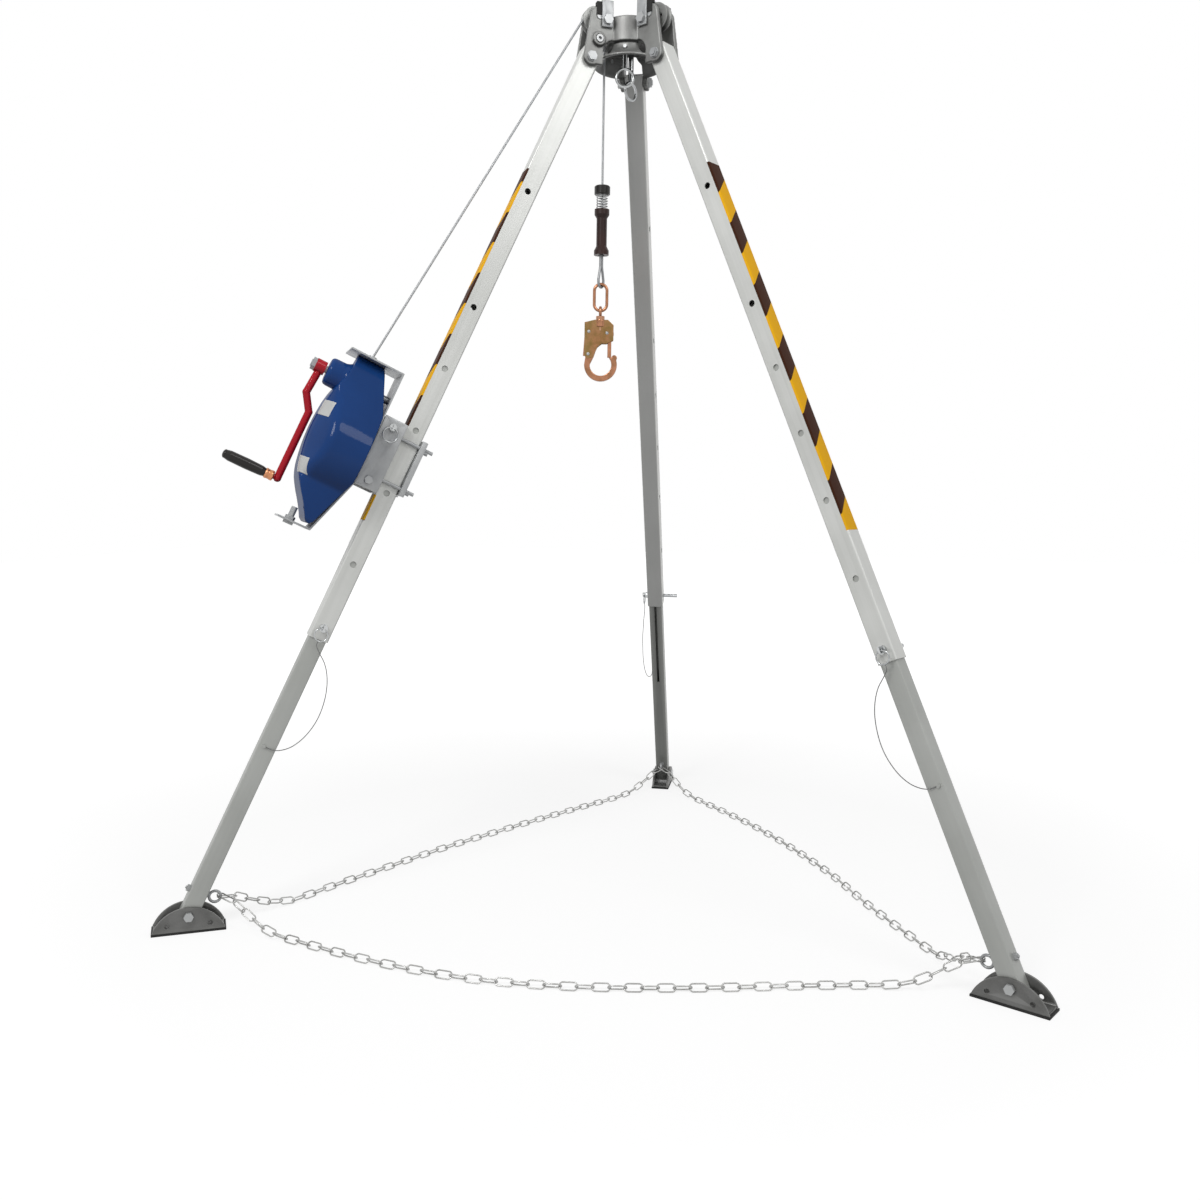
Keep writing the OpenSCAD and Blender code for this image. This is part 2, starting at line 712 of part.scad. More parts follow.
module sheave(a) {
    color("darkgray") on_head(a) translate([sheave_c_r, 0, sheave_c_h]) rotate([90, 0, 0]) difference() {
        rotate_extrude($fn = 96) difference() {
            union() {
                translate([sheave_axle_d / 2 + run, -sheave_w / 2])
                    square([sheave_r - sheave_axle_d / 2 - run, sheave_w]);
                translate([sheave_axle_d / 2 + run, -ear_inner + air])
                    square([sheave_hub_r - sheave_axle_d / 2 - run, 2 * ear_inner - 2 * air]);
            }
            translate([sheave_line_r, 0]) circle(groove_r);
            polygon([[sheave_line_r, -groove_r], [sheave_r + cut, -groove_r - 4],
                [sheave_r + cut, groove_r + 4], [sheave_line_r, groove_r]]);
        }
        for (k = [0:5]) rotate([0, 0, 60 * k]) translate([sheave_hole_c, 0, -sheave_w])
            cylinder(r = sheave_hole_r, h = 2 * sheave_w);
    }
}

// Steel line: from the winch over the left sheave, and down to the hook

// Where the line meets the cable guide, in the left leg's frame
guide_n = frame_n + 70;
guide_s = 830;
guide_top_s = guide_s - 10;
guide_r = hinge_r + guide_n * cos(leg_splay) + guide_top_s * sin(leg_splay);
guide_h = guide_n * sin(leg_splay) - guide_top_s * cos(leg_splay);
// Angle on the sheave where the line from the guide meets it
guide_span = norm([guide_r - sheave_c_r, guide_h - sheave_c_h]);
touch_angle = atan2(guide_h - sheave_c_h, guide_r - sheave_c_r) + acos(sheave_line_r / guide_span);
touch = [sheave_c_r + sheave_line_r * cos(touch_angle), 0, sheave_c_h + sheave_line_r * sin(touch_angle)];
line_r = sheave_c_r - sheave_line_r;
winding_r = 68;

module winch_cable() {
    color("lightslategray") {
        on_head(LEFT) {
            bar([guide_r, 0, guide_h], touch, line_d / 2);
            translate(touch) sphere(d = bend_ball * line_d);
            translate([sheave_c_r, 0, sheave_c_h]) rotate([90, 0, 0]) rotate([0, 0, touch_angle])
                rotate_extrude(angle = 180 - touch_angle) translate([sheave_line_r, 0]) circle(line_d / 2);
        }
        on_leg(LEFT) {
            bent_bar([[guide_n, 0, -guide_top_s - 2 * air], [guide_n, 0, -guide_s - 8],
                [guide_n - 15, -14, -guide_s - 26],
                [drum_n0 + 32, -winding_r + line_d, -drum_s + 46]], line_d / 2);
            translate([drum_n0 + drum_flange + air, 0, -drum_s]) rotate([0, 90, 0]) difference() {
                cylinder(r = winding_r, h = drum_in_w - 2 * air);
                translate([0, 0, -cut]) cylinder(r = drum_core_r + air, h = drum_in_w + 2 * cut);
            }
        }
    }
}

grip_top = hinge_z + sheave_c_h - line_drop;
line_x = line_r * cos(LEFT);
line_y = line_r * sin(LEFT);
hook_turn = 10;

// Places its children on the hanging line, turned as the hook hangs
module on_line() {
    translate([line_x, line_y, 0]) rotate([0, 0, hook_turn]) children();
}

collar_z = grip_top + spring_h;
line_bore = line_d / 2 + run;
grip_end_r = 17;
grip_neck_r = 12;
collar_r = 18;
line_in_grip = 24;

module lift_cable() {
    color("lightslategray") translate([line_x, line_y, grip_top - grip_len + line_in_grip])
        cylinder(d = line_d, h = hinge_z + sheave_c_h - air - grip_top + grip_len - line_in_grip);
}

module line_collar() {
    color("black") on_line() translate([0, 0, collar_z]) rotate_extrude() difference() {
        translate([line_bore, 0]) square([collar_r - line_bore, collar_h]);
        for (z = [-1, collar_h + 1]) translate([collar_r + 1, z]) circle(3);
    }
}

spring_r = 12;
spring_rings = 8;
spring_steps = spring_turns * spring_rings;
// The ends of the wire run straight for one diameter, square to the collar and the grip
spring_route = concat([[spring_r, 0, 0]],
    [for (i = [0:spring_steps]) let (a = 360 * i / spring_rings)
        [spring_r * cos(a), spring_r * sin(a),
         1.2 * spring_wire + (spring_h - 2.4 * spring_wire) * i / spring_steps]],
    [[spring_r, 0, spring_h]]);
spring_gap = min([for (i = [0:len(spring_route) - 1], j = [i + spring_rings - 3:1:len(spring_route) - 1])
    norm(spring_route[i] - spring_route[j])]) - spring_wire;
echo(least_gap_of_bumper_spring = spring_gap);

module line_spring() {
    color("silver") on_line() translate([0, 0, grip_top])
        swept_tube(spring_route, spring_wire / 2, 6, [for (p = spring_route) [p[0], p[1], 0]]);
}

grip_end = 14;

module line_grip() {
    color("saddlebrown") on_line() translate([0, 0, grip_top - grip_len]) rotate_extrude() polygon([
        [line_bore + 1.5, 0], [grip_end_r, 0], [grip_end_r, grip_end - 4], [grip_neck_r, grip_end + 6],
        [grip_neck_r, grip_len - grip_end - 6], [grip_end_r, grip_len - grip_end + 2],
        [grip_end_r, grip_len], [line_bore, grip_len], [line_bore, 22], [line_bore + 5, 22],
        [line_bore + 5, 0]]);
}

// Eye of the line round its thimble, turned against the oval link
eye_bend_r = 11;
eye_low = grip_top - grip_len - 72;
eye_cord_r = 3;
eye_turn = 60;

module cable_eye() {
    color("slategray") on_line() rotate([0, 0, eye_turn]) {
        translate([0, 0, eye_low + eye_bend_r]) rotate([-90, 0, 0])
            rotate_extrude(angle = 180) translate([eye_bend_r, 0]) circle(eye_cord_r);
        for (m = [0, 1]) mirror([m, 0, 0])
            bent_bar([[eye_bend_r, 0, eye_low + eye_bend_r], [eye_bend_r, 0, eye_low + eye_bend_r + 6],
                [3.4, 0, eye_low + 46], [3.4, 0, grip_top - grip_len + 20]], eye_cord_r);
    }
}

// Oval link hung in the eye
oval_in_w = 22;
oval_in_len = 53;
oval_top = eye_low + eye_cord_r + air + oval_bar;
oval_z = oval_top - oval_bar / 2 - oval_bar / 2 - oval_in_len / 2;

module hook_link() {
    color("goldenrod") on_line() translate([0, 0, oval_z]) oval(oval_in_len, oval_in_w, oval_bar);
}

// Swivel: an eye on a stud, whose head turns inside the hook's body
swivel_bar = 7;
swivel_r = 10;
oval_low = oval_z - oval_in_len / 2 - oval_bar / 2;
swivel_top = oval_low + oval_bar / 2 + air + swivel_bar / 2;
swivel_z = swivel_top - swivel_r;
stud_r = 6;
stud_collar_r = 10;
hook_top = swivel_z - swivel_r - swivel_bar / 2 - 5;
boss_h = 16;
stud_head_h = 8;

module hook_swivel() {
    color("goldenrod") on_line() {
        translate([0, 0, swivel_z]) rotate([0, 90, 0]) ring(swivel_r, swivel_bar / 2);
        translate([0, 0, hook_top + air])
            cylinder(r = stud_collar_r, h = swivel_z - swivel_r - hook_top - air);
        translate([0, 0, hook_top - boss_h - stud_head_h])
            cylinder(r = stud_r, h = boss_h + stud_head_h + cut);
        translate([0, 0, hook_top - boss_h - stud_head_h - air])
            cylinder(r = stud_r + 2.5, h = stud_head_h);
    }
}

// Snap hook, drawn in the plane of its bowl: X to the nose, Y up from its top
bowl_x = 2;
bowl_y = -102;
bowl_r = 38;
bowl_in_r = 25;
nose_y = -86;
gate_x = 22;
gate_y = -26;
gate_t = 8;
gate_gap = 0.4;
gate_pin_r = 3;
gate_w = 9;
lever_x = -22;
lever_y = -16;
lever_t = 7;
lever_w = 5;
lever_len = 66;
lever_sink = 1.5;
lever_groove_y = lever_y - lever_len - 4;
window_h = 14;
spine_x = -27;

module hook_outline() {
    difference() {
        union() {
            polygon([[-14, 0], [14, 0], [30, -10], [32, -34], [14, -50], [4, -48], [-4, -54], [-14, -84],
                [bowl_x - bowl_in_r, bowl_y], [bowl_x - bowl_r, bowl_y], [spine_x, -40], [-29, -24],
                [-26, -8]]);
            difference() {
                translate([bowl_x, bowl_y]) circle(bowl_r, $fn = 96);
                translate([bowl_x, bowl_y]) circle(bowl_in_r, $fn = 96);
                translate([bowl_x, nose_y]) square([2 * bowl_r, 2 * bowl_r]);
                translate([bowl_x - 2 * bowl_r, bowl_y]) square([2 * bowl_r, 2 * bowl_r]);
            }
            translate([bowl_x + (bowl_r + bowl_in_r) / 2, nose_y]) circle((bowl_r - bowl_in_r) / 2);
        }
        translate([gate_x, gate_y]) circle(gate_pin_r + run);
        translate([lever_x, lever_y]) circle(gate_pin_r + run);
    }
}

module hook_body() {
    color("goldenrod") on_line() translate([0, 0, hook_top]) difference() {
        union() {
            translate([0, hook_t / 2, 0]) rotate([90, 0, 0]) linear_extrude(hook_t) hook_outline();
            translate([0, 0, -boss_h]) cylinder(r = stud_r + 6, h = boss_h);
        }
        translate([0, 0, -boss_h - cut]) cylinder(r = stud_r + run, h = boss_h + 2 * cut);
        translate([-stud_r - 5, -hook_t, -boss_h - window_h]) cube([2 * stud_r + 10, 2 * hook_t, window_h]);
        // Slots for the gate's and the lever's roots, and the groove that takes the squeezed lever
        translate([0, gate_t / 2 + gate_gap, 0]) rotate([90, 0, 0]) linear_extrude(gate_t + 2 * gate_gap)
            polygon([[gate_x - 8, -15], [60, -15], [60, -66], [gate_x - 26, -66], [gate_x - 8, gate_y]]);
        translate([0, lever_t / 2 + gate_gap, 0]) rotate([90, 0, 0]) linear_extrude(lever_t + 2 * gate_gap)
            polygon([[-60, -6], [lever_x + 9, -6], [lever_x + 9, -24], [spine_x + 2, -44],
                [spine_x - lever_sink, lever_groove_y], [-60, lever_groove_y]]);
    }
}

// The gate hangs from its pin down to the inside of the nose
gate_len = gate_y - nose_y - 2 * air;

module hook_gate() {
    color("goldenrod") on_line() translate([gate_x, 0, hook_top + gate_y]) {
        translate([0, gate_t / 2, 0]) rotate([90, 0, 0]) linear_extrude(gate_t) {
            circle(gate_w / 2 + 1.5);
            translate([-gate_w / 2, -gate_len]) square([gate_w, gate_len]);
        }
        across(-hook_t / 2, hook_t / 2, gate_pin_r);
    }
}

module hook_lever() {
    color("goldenrod") on_line() translate([lever_x, 0, hook_top + lever_y]) {
        translate([0, lever_t / 2, 0]) rotate([90, 0, 0]) linear_extrude(lever_t) {
            circle(6);
            polygon([[-6, 0], [0, -6], [-10, -24], [-12, -lever_len], [-12 - lever_w, -lever_len],
                [-13, -6]]);
        }
        across(-hook_t / 2, hook_t / 2, gate_pin_r);
    }
}

// Winch, in the left leg's frame

gear_gap = gear_module * (pinion_teeth + drum_teeth) / 2;
drum_s = crank_s + gear_gap;
drum_n0 = frame_n + 14;
drum_flange = 3;
drum_in_w = 40;
drum_core_r = 45;
drum_r = 84;
shaft_r = 8;
gear_n = drum_n0 + drum_in_w + 2 * drum_flange + 4;
gear_w = 6;
top_s = guide_s;
frame_low_s = 1095;
frame_end_s = 1215;
frame_end_n = frame_n + 40;
flange_out_n = 198;
foot_flange_n = 188;

// Bent sheet of the frame, seen from the side: back, sloped foot, and a flange at each end
module frame_outline() {
    polygon([[flange_out_n, -top_s], [frame_n, -top_s], [frame_n, -frame_low_s],
        [frame_end_n, -frame_end_s - frame_t], [foot_flange_n, -frame_end_s - frame_t],
        [foot_flange_n, -frame_end_s], [frame_end_n + 3, -frame_end_s], [frame_n + frame_t, -frame_low_s],
        [frame_n + frame_t, -top_s - frame_t], [flange_out_n, -top_s - frame_t]]);
}

// Tongue of the frame that sits in the leg bracket
bracket_s0 = 925;
bracket_s1 = 1087;
bracket_t = 4;
bracket_half = 44;
tongue_half = bracket_half - bracket_t - 0.5;
tongue_n = upper_w / 2 + 10;
mount_n = 50;
mount_pin_s = 944;
mount_bolt_s = 1068;
mount_pin_r = 5;
guide_body_r = 9;

module winch_frame() {
    color("silver") on_leg(LEFT) difference() {
        union() {
            translate([0, frame_w / 2, 0]) rotate([90, 0, 0]) linear_extrude(frame_w) frame_outline();
            for (m = [0, 1]) mirror([0, m, 0])
                translate([tongue_n, tongue_half - bracket_t, -bracket_s1 + 4])
                    cube([frame_n - tongue_n + cut, bracket_t, bracket_s1 - bracket_s0 - 8]);
        }
        for (s = [mount_pin_s, mount_bolt_s]) translate([mount_n, 0, -s])
            across(-bracket_half, bracket_half, mount_pin_r + run);
        for (s = [crank_s, drum_s]) translate([frame_n - cut, 0, -s]) rotate([0, 90, 0])
            cylinder(r = shaft_r + run, h = frame_t + 2 * cut);
        translate([guide_n, 0, -top_s - frame_t - cut])
            cylinder(r = guide_body_r + run, h = frame_t + 2 * cut);
        for (y = [-1, 1]) translate([tie_n, y * tie_t, -frame_end_s - frame_t - cut])
            cylinder(r = tie_r + run, h = frame_t + 2 * cut);
    }
}

// Housing outline seen along the crank's axis: X down the leg, Y sideways
face_s = 1036;
face_r = 110;
face_foot_w = 148;
crown_s = 866;
crown_r = 34;

function tangent_side(inset, y) =
    let (span = face_s - crown_s, lean = asin((face_r - crown_r) / span))
    [[crown_s - (crown_r - inset) * sin(lean), y * (crown_r - inset) * cos(lean)],
     [face_s - (face_r - inset) * sin(lean), y * (face_r - inset) * cos(lean)]];

module face_outline(inset) {
    upper = tangent_side(inset, 1);
    lower = tangent_side(inset, -1);
    translate([face_s, 0]) circle(face_r - inset, $fn = 96);
    translate([crown_s, 0]) circle(crown_r - inset);
    polygon([upper[0], upper[1], lower[1], lower[0]]);
    translate([face_s, -face_foot_w / 2 + inset])
        square([housing_end_s - face_s - inset, face_foot_w - 2 * inset]);
}

housing_end_s = frame_end_s - 8;
housing_seat = frame_n + frame_t + 0.2;

// The crank face rises from the sides to a flat crest
crest_n = frame_n + 129;
crest_w = 74;
crest_drop = 40;

// Housing outline seen from the side: X outward, Y up the leg
module side_outline(inset) {
    top = -top_s - frame_t - 4 - inset;
    polygon([[frame_n + 41 + inset, top], [frame_n + 100 - inset, top],
        [frame_n + 102 - inset, -crank_s + 10], [frame_n + 122 - inset, -crank_s - 38],
        [crest_n - inset, -drum_s + 20], [crest_n - inset, -drum_s - 24],
        [crest_n - 5 - inset, -drum_s - 67], [crest_n - 16 - inset, -drum_s - 115],
        [crest_n - 48 - inset, -drum_s - 155], [frame_n + 58 - inset, -housing_end_s + inset],
        [frame_end_n + 6 + inset, -housing_end_s + inset], [housing_seat + inset + 1, -frame_low_s],
        [housing_seat + inset, -drum_s + drum_r - 13]]);
}

// Housing outline seen along the leg: X outward, Y sideways
module end_outline(inset) {
    half = frame_w + face_r;
    drop = crest_drop * (half - crest_w / 2) / (face_r - crest_w / 2);
    polygon([[frame_n, -half], [crest_n - drop - inset, -half], [crest_n - inset, -crest_w / 2],
        [crest_n - inset, crest_w / 2], [crest_n - drop - inset, half], [frame_n, half]]);
}

module housing_form(inset) {
    intersection() {
        translate([0, 0, -housing_end_s]) linear_extrude(housing_end_s) end_outline(inset);
        translate([0, frame_w + face_r, 0]) rotate([90, 0, 0]) linear_extrude(2 * frame_w + 2 * face_r)
            side_outline(inset);
        translate([frame_n, 0, 0]) rotate([0, 90, 0]) linear_extrude(2 * frame_w) face_outline(inset);
    }
}

boss_r = 31;
boss_out_n = frame_n + 145;
boss_root_n = frame_n + 84;

module winch_housing() {
    color("royalblue") on_leg(LEFT) difference() {
        union() {
            difference() {
                housing_form(0);
                housing_form(housing_wall);
            }
            translate([boss_root_n, 0, -crank_s]) rotate([0, 90, 0])
                cylinder(r = boss_r, h = boss_out_n - boss_root_n);
            translate([gear_n + gear_w + 1, 0, -drum_s]) rotate([0, 90, 0])
                cylinder(r = shaft_r + 5, h = crest_n - gear_n - gear_w - 2);
        }
        translate([boss_root_n - 12, 0, -crank_s]) rotate([0, 90, 0])
            cylinder(r = boss_r - housing_wall, h = boss_out_n - boss_root_n + 12 - housing_wall);
        translate([frame_n, 0, -crank_s]) rotate([0, 90, 0]) cylinder(r = shaft_r + run, h = 2 * frame_w);
        translate([frame_n, 0, -drum_s]) rotate([0, 90, 0])
            cylinder(r = shaft_r + run, h = gear_n + gear_w - frame_n + 4);
        // Mouth for the line, below the cable guide
        translate([guide_n, 0, -top_s - 40]) cylinder(r = guide_body_r + 2, h = 60);
        // Open back behind the crank shaft
        translate([frame_n, 0, -crank_s]) rotate([0, 90, 0]) cylinder(r = shaft_r + 6, h = 50);
        translate([frame_n, 0, -drum_s]) rotate([0, 90, 0]) cylinder(r = shaft_r + 6, h = 20);
    }
}

// Spur gear outline with plain flanks
tooth_tip = 0.7;
tooth_root = 1.15;

module gear_outline(teeth) {
    pitch_r = gear_module * teeth / 2;
    root_r = pitch_r - tooth_root * gear_module;
    tip_r = pitch_r + tooth_tip * gear_module;
    turn = 360 / teeth;
    polygon([for (i = [0:teeth - 1], q = [[root_r, -0.30], [tip_r, -0.11], [tip_r, 0.11], [root_r, 0.30]])
        q[0] * [cos(turn * (i + q[1])), sin(turn * (i + q[1]))]]);
}

module winch_drum() {
    color("dimgray") on_leg(LEFT) translate([0, 0, -drum_s]) rotate([0, 90, 0]) difference() {
        union() {
            translate([0, 0, drum_n0]) cylinder(r = drum_core_r, h = gear_n + gear_w - drum_n0);
            for (x = [drum_n0, drum_n0 + drum_flange + drum_in_w])
                translate([0, 0, x]) cylinder(r = drum_r, h = drum_flange, $fn = 96);
            translate([0, 0, gear_n]) linear_extrude(gear_w) gear_outline(drum_teeth);
        }
        translate([0, 0, frame_n]) cylinder(r = shaft_r + run, h = 2 * frame_w);
    }
}

module drum_axle() {
    color("silver") on_leg(LEFT) translate([frame_n, 0, -drum_s]) rotate([0, 90, 0])
        cylinder(r = shaft_r, h = gear_n + gear_w + 3 - frame_n);
}

hub_n = boss_out_n + 4;
hub_len = 22;
hub_r = 15;
nut_len = 8;

module crank_shaft() {
    color("silver") on_leg(LEFT) translate([0, 0, -crank_s]) rotate([0, 90, 0]) {
        translate([0, 0, frame_n]) cylinder(r = shaft_r, h = hub_n + hub_len + nut_len + 2 - frame_n);
        // Half a pitch of turn puts a pinion gap opposite a gear tooth
        translate([0, 0, gear_n]) rotate([0, 0, 180 / pinion_teeth]) linear_extrude(gear_w)
            gear_outline(pinion_teeth);
        translate([0, 0, hub_n + hub_len]) cylinder(d = 24 / cos(30), h = nut_len, $fn = 6);
    }
}

disc_r = 24;
disc_n = boss_root_n + 16;
disc_t = 6;

// Ratchet disc between two friction rings, held still in the boss by its keys
module brake_discs() {
    color("dimgray") on_leg(LEFT) translate([0, 0, -crank_s]) rotate([0, 90, 0]) for (k = [0:2])
        translate([0, 0, disc_n + k * (disc_t + air)]) difference() {
            cylinder(r = k == 1 ? boss_r - housing_wall - run : disc_r, h = disc_t);
            translate([0, 0, -cut]) cylinder(r = shaft_r + air, h = disc_t + 2 * cut);
        }
}

hub_mid = hub_n + hub_len / 2;
arm_n = hub_mid - 18;
// Start and end of the arm's joggle, below the crank's axis
joggle_s0 = 62;
joggle_s1 = 98;
arm_end_s = crank_s + crank_len;
spindle_r = 5.5;
grip_n = arm_n + 27;

module crank_arm() {
    color("crimson") on_leg(LEFT) {
        difference() {
            union() {
                translate([hub_n, 0, -crank_s]) rotate([0, 90, 0]) cylinder(r = hub_r, h = hub_len);
                bent_bar([[hub_mid, 0, -crank_s - hub_r + 4], [hub_mid + 4, 0, -crank_s - joggle_s0],
                    [arm_n, 0, -crank_s - joggle_s1], [arm_n, 0, -arm_end_s], [arm_n + 4, 0, -arm_end_s]],
                    crank_bar / 2);
            }
            translate([hub_n - cut, 0, -crank_s]) rotate([0, 90, 0])
                cylinder(r = shaft_r + run, h = hub_len + 2 * cut);
        }
        translate([arm_n, 0, -arm_end_s]) rotate([0, 90, 0]) {
            cylinder(r = spindle_r, h = 27 + crank_grip_len);
            translate([0, 0, 10]) cylinder(r = 10, h = 16);
            translate([0, 0, 27 + crank_grip_len]) cylinder(r = spindle_r + 3, h = 3);
        }
    }
}

module crank_grip() {
    color("black") on_leg(LEFT) translate([grip_n + air, 0, -arm_end_s]) rotate([0, 90, 0]) rotate_extrude()
        polygon([[spindle_r + run, 0], [9, 0], [11, 8], [12, crank_grip_len * 0.45],
            [11.5, crank_grip_len - 10], [9.5, crank_grip_len - 2 * air],
            [spindle_r + run, crank_grip_len - 2 * air]]);
}

module cable_guide() {
    color("silver") on_leg(LEFT) translate([guide_n, 0, 0]) difference() {
        union() {
            translate([0, 0, -guide_s]) cylinder(r = guide_body_r + 8, h = 3);
            translate([0, 0, -guide_s - frame_t - 3]) cylinder(r = guide_body_r, h = frame_t + 3 + 9);
        }
        translate([0, 0, -guide_s - 20]) cylinder(r = line_d / 2 + 1, h = 40);
    }
}

// Bracket and clamp that hold the winch to the leg
leg_face = upper_w / 2;
stud_t = leg_face + 7;
stud_s = [956, 1055];
stud_bar_r = 4;
stud_in_n = -53;
strap_plate = 6;
clamp_s0 = 940;
clamp_s1 = 1070;
clamp_lip = 12;

module leg_bracket() {
    color("silver") on_leg(LEFT) difference() {
        translate([leg_face, -bracket_half, -bracket_s1])
            cube([frame_n - 2 - leg_face, 2 * bracket_half, bracket_s1 - bracket_s0]);
        translate([leg_face + bracket_t, -bracket_half + bracket_t, -bracket_s1 - cut])
            cube([frame_n, 2 * (bracket_half - bracket_t), bracket_s1 - bracket_s0 + 2 * cut]);
        for (s = [mount_pin_s, mount_bolt_s]) translate([mount_n, 0, -s])
            across(-2 * bracket_half, 2 * bracket_half, mount_pin_r + run);
        for (s = stud_s, y = [-1, 1]) translate([0, y * stud_t, -s]) rotate([0, 90, 0])
            cylinder(r = stud_bar_r + run, h = 2 * leg_face);
    }
}

module clamp_strap() {
    color("silver") on_leg(LEFT) difference() {
        translate([-leg_face - clamp_lip, -stud_t - 10, -clamp_s1])
            cube([clamp_lip, 2 * stud_t + 20, clamp_s1 - clamp_s0]);
        translate([-leg_face - clamp_lip - cut, -stud_t - 10 + strap_plate / 2, -clamp_s1 - cut])
            cube([clamp_lip - strap_plate + cut, 2 * stud_t + 20 - strap_plate,
                clamp_s1 - clamp_s0 + 2 * cut]);
        for (s = stud_s, y = [-1, 1]) translate([-2 * leg_face, y * stud_t, -s]) rotate([0, 90, 0])
            cylinder(r = stud_bar_r + run, h = 2 * leg_face);
    }
}

tie_n = 160;
tie_t = 22;
tie_r = 5;
tie_len = 34;

// Clamp studs with their nuts, the bracket bolt, and the two tie bolts of the frame's foot
module winch_fasteners() {
    color("silver") on_leg(LEFT) {
        for (s = stud_s, y = [-1, 1]) translate([0, y * stud_t, -s]) {
            bar([stud_in_n, 0, 0], [leg_face + bracket_t, 0, 0], stud_bar_r);
            translate([leg_face + bracket_t, 0, 0]) rotate([0, 90, 0]) cylinder(r = 6.5, h = 4);
            translate([-leg_face - strap_plate - 6, 0, 0]) rotate([0, 90, 0])
                cylinder(d = 13 / cos(30), h = 6, $fn = 6);
        }
        translate([mount_n, 0, -mount_bolt_s]) {
            across(-bracket_half - 6, bracket_half + 3, mount_pin_r);
            for (m = [0, 1]) mirror([0, m, 0]) hex_across(bracket_half, bracket_half + 5, 16);
        }
        for (y = [-1, 1]) translate([tie_n, y * tie_t, -frame_end_s - frame_t]) {
            translate([0, 0, -6]) cylinder(d = 16 / cos(30), h = 6, $fn = 6);
            translate([0, 0, -cut]) cylinder(r = tie_r, h = tie_len);
            translate([0, 0, frame_t]) cylinder(d = 16 / cos(30), h = 8, $fn = 6);
        }
    }
}

mount_ring_r = 16;
mount_head = 6;
mount_eye_t = bracket_half + mount_head + tang_len / 2;

module mount_pin() {
    color("silver") on_leg(LEFT) translate([mount_n, 0, -mount_pin_s]) {
        difference() {
            union() {
                across(-bracket_half - 12, bracket_half + air, mount_pin_r);
                across(bracket_half + air, bracket_half + mount_head, mount_pin_r + 3);
                translate([-tang_t / 2, bracket_half + mount_head - cut, -tang_w / 2])
                    cube([tang_t, tang_len + cut, tang_w]);
            }
            translate([-tang_t, mount_eye_t, 0]) rotate([0, 90, 0]) cylinder(r = pin_eye_r, h = 2 * tang_t);
        }
        translate([0, mount_eye_t, -mount_ring_r - pin_eye_r + ring_wire / 2 + air]) rotate([90, 0, 0])
            ring(mount_ring_r, ring_wire / 2);
    }
}

head_casting();
keeper_straps();
keeper_bolts();
sheave_axles();
hinge_bolts();
anchor_eyebolts();
head_screws();
sheave(LEFT);  // sheave_left
sheave(RIGHT);  // sheave_right
sheave(BACK);  // sheave_back
upper_leg(LEFT);  // upper_leg_left
upper_leg(RIGHT);  // upper_leg_right
upper_leg(BACK);  // upper_leg_back
lower_leg(LEFT, 1);  // lower_leg_left
lower_leg(RIGHT, -1);  // lower_leg_right
lower_leg(BACK, 1);  // lower_leg_back
lock_pin(LEFT, 1);  // lock_pin_left
lock_pin(RIGHT, -1);  // lock_pin_right
lock_pin(BACK, 1);  // lock_pin_back
lanyard(LEFT, 1);  // lanyard_left
lanyard(RIGHT, -1);  // lanyard_right
lanyard(BACK, 1);  // lanyard_back
foot(LEFT);  // foot_left
foot(RIGHT);  // foot_right
foot(BACK);  // foot_back
sole(LEFT);  // sole_left
sole(RIGHT);  // sole_right
sole(BACK);  // sole_back
foot_bolt(LEFT);  // foot_bolt_left
foot_bolt(RIGHT);  // foot_bolt_right
foot_bolt(BACK);  // foot_bolt_back
chain_eye(LEFT);  // chain_eye_left
chain_eye(RIGHT);  // chain_eye_right
chain_eye(BACK);  // chain_eye_back
foot_chains();
winch_cable();
lift_cable();
line_collar();
line_spring();
line_grip();
cable_eye();
hook_link();
hook_swivel();
hook_body();
hook_gate();
hook_lever();
winch_frame();
winch_housing();
winch_drum();
drum_axle();
crank_shaft();
brake_discs();
crank_arm();
crank_grip();
cable_guide();
leg_bracket();
clamp_strap();
winch_fasteners();
mount_pin();
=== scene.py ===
# %% [markdown]
# # A rescue tripod, dressed
#
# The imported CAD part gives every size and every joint. This lesson adds what the solids leave out:
# wire rope, round chain links, soft edges, warning tape, and finishes. It works in metres, in the
# part's own frame: +Z is up, the floor is z = 0, and the back leg points along +Y.

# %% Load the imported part
import json
import math

import bmesh
import bpy
from mathutils import Matrix, Vector
from mathutils.bvhtree import BVHTree


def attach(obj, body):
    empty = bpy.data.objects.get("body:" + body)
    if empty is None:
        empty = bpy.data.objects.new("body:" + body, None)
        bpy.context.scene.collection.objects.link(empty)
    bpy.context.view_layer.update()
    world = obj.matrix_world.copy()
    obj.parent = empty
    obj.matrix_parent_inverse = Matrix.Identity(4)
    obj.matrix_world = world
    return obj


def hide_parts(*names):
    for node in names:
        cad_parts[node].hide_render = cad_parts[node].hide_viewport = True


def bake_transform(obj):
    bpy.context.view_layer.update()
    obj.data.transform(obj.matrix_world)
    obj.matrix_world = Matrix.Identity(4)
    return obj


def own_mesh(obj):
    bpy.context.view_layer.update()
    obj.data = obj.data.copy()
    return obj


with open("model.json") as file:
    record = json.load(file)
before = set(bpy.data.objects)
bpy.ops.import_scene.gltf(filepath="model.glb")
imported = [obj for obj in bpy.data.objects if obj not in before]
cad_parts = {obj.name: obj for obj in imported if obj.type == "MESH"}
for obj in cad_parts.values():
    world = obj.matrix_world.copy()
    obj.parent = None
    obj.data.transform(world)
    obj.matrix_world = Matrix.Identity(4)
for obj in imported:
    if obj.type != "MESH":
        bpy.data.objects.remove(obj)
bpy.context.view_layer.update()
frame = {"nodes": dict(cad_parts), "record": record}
nodes = frame["nodes"]
scene = bpy.context.scene

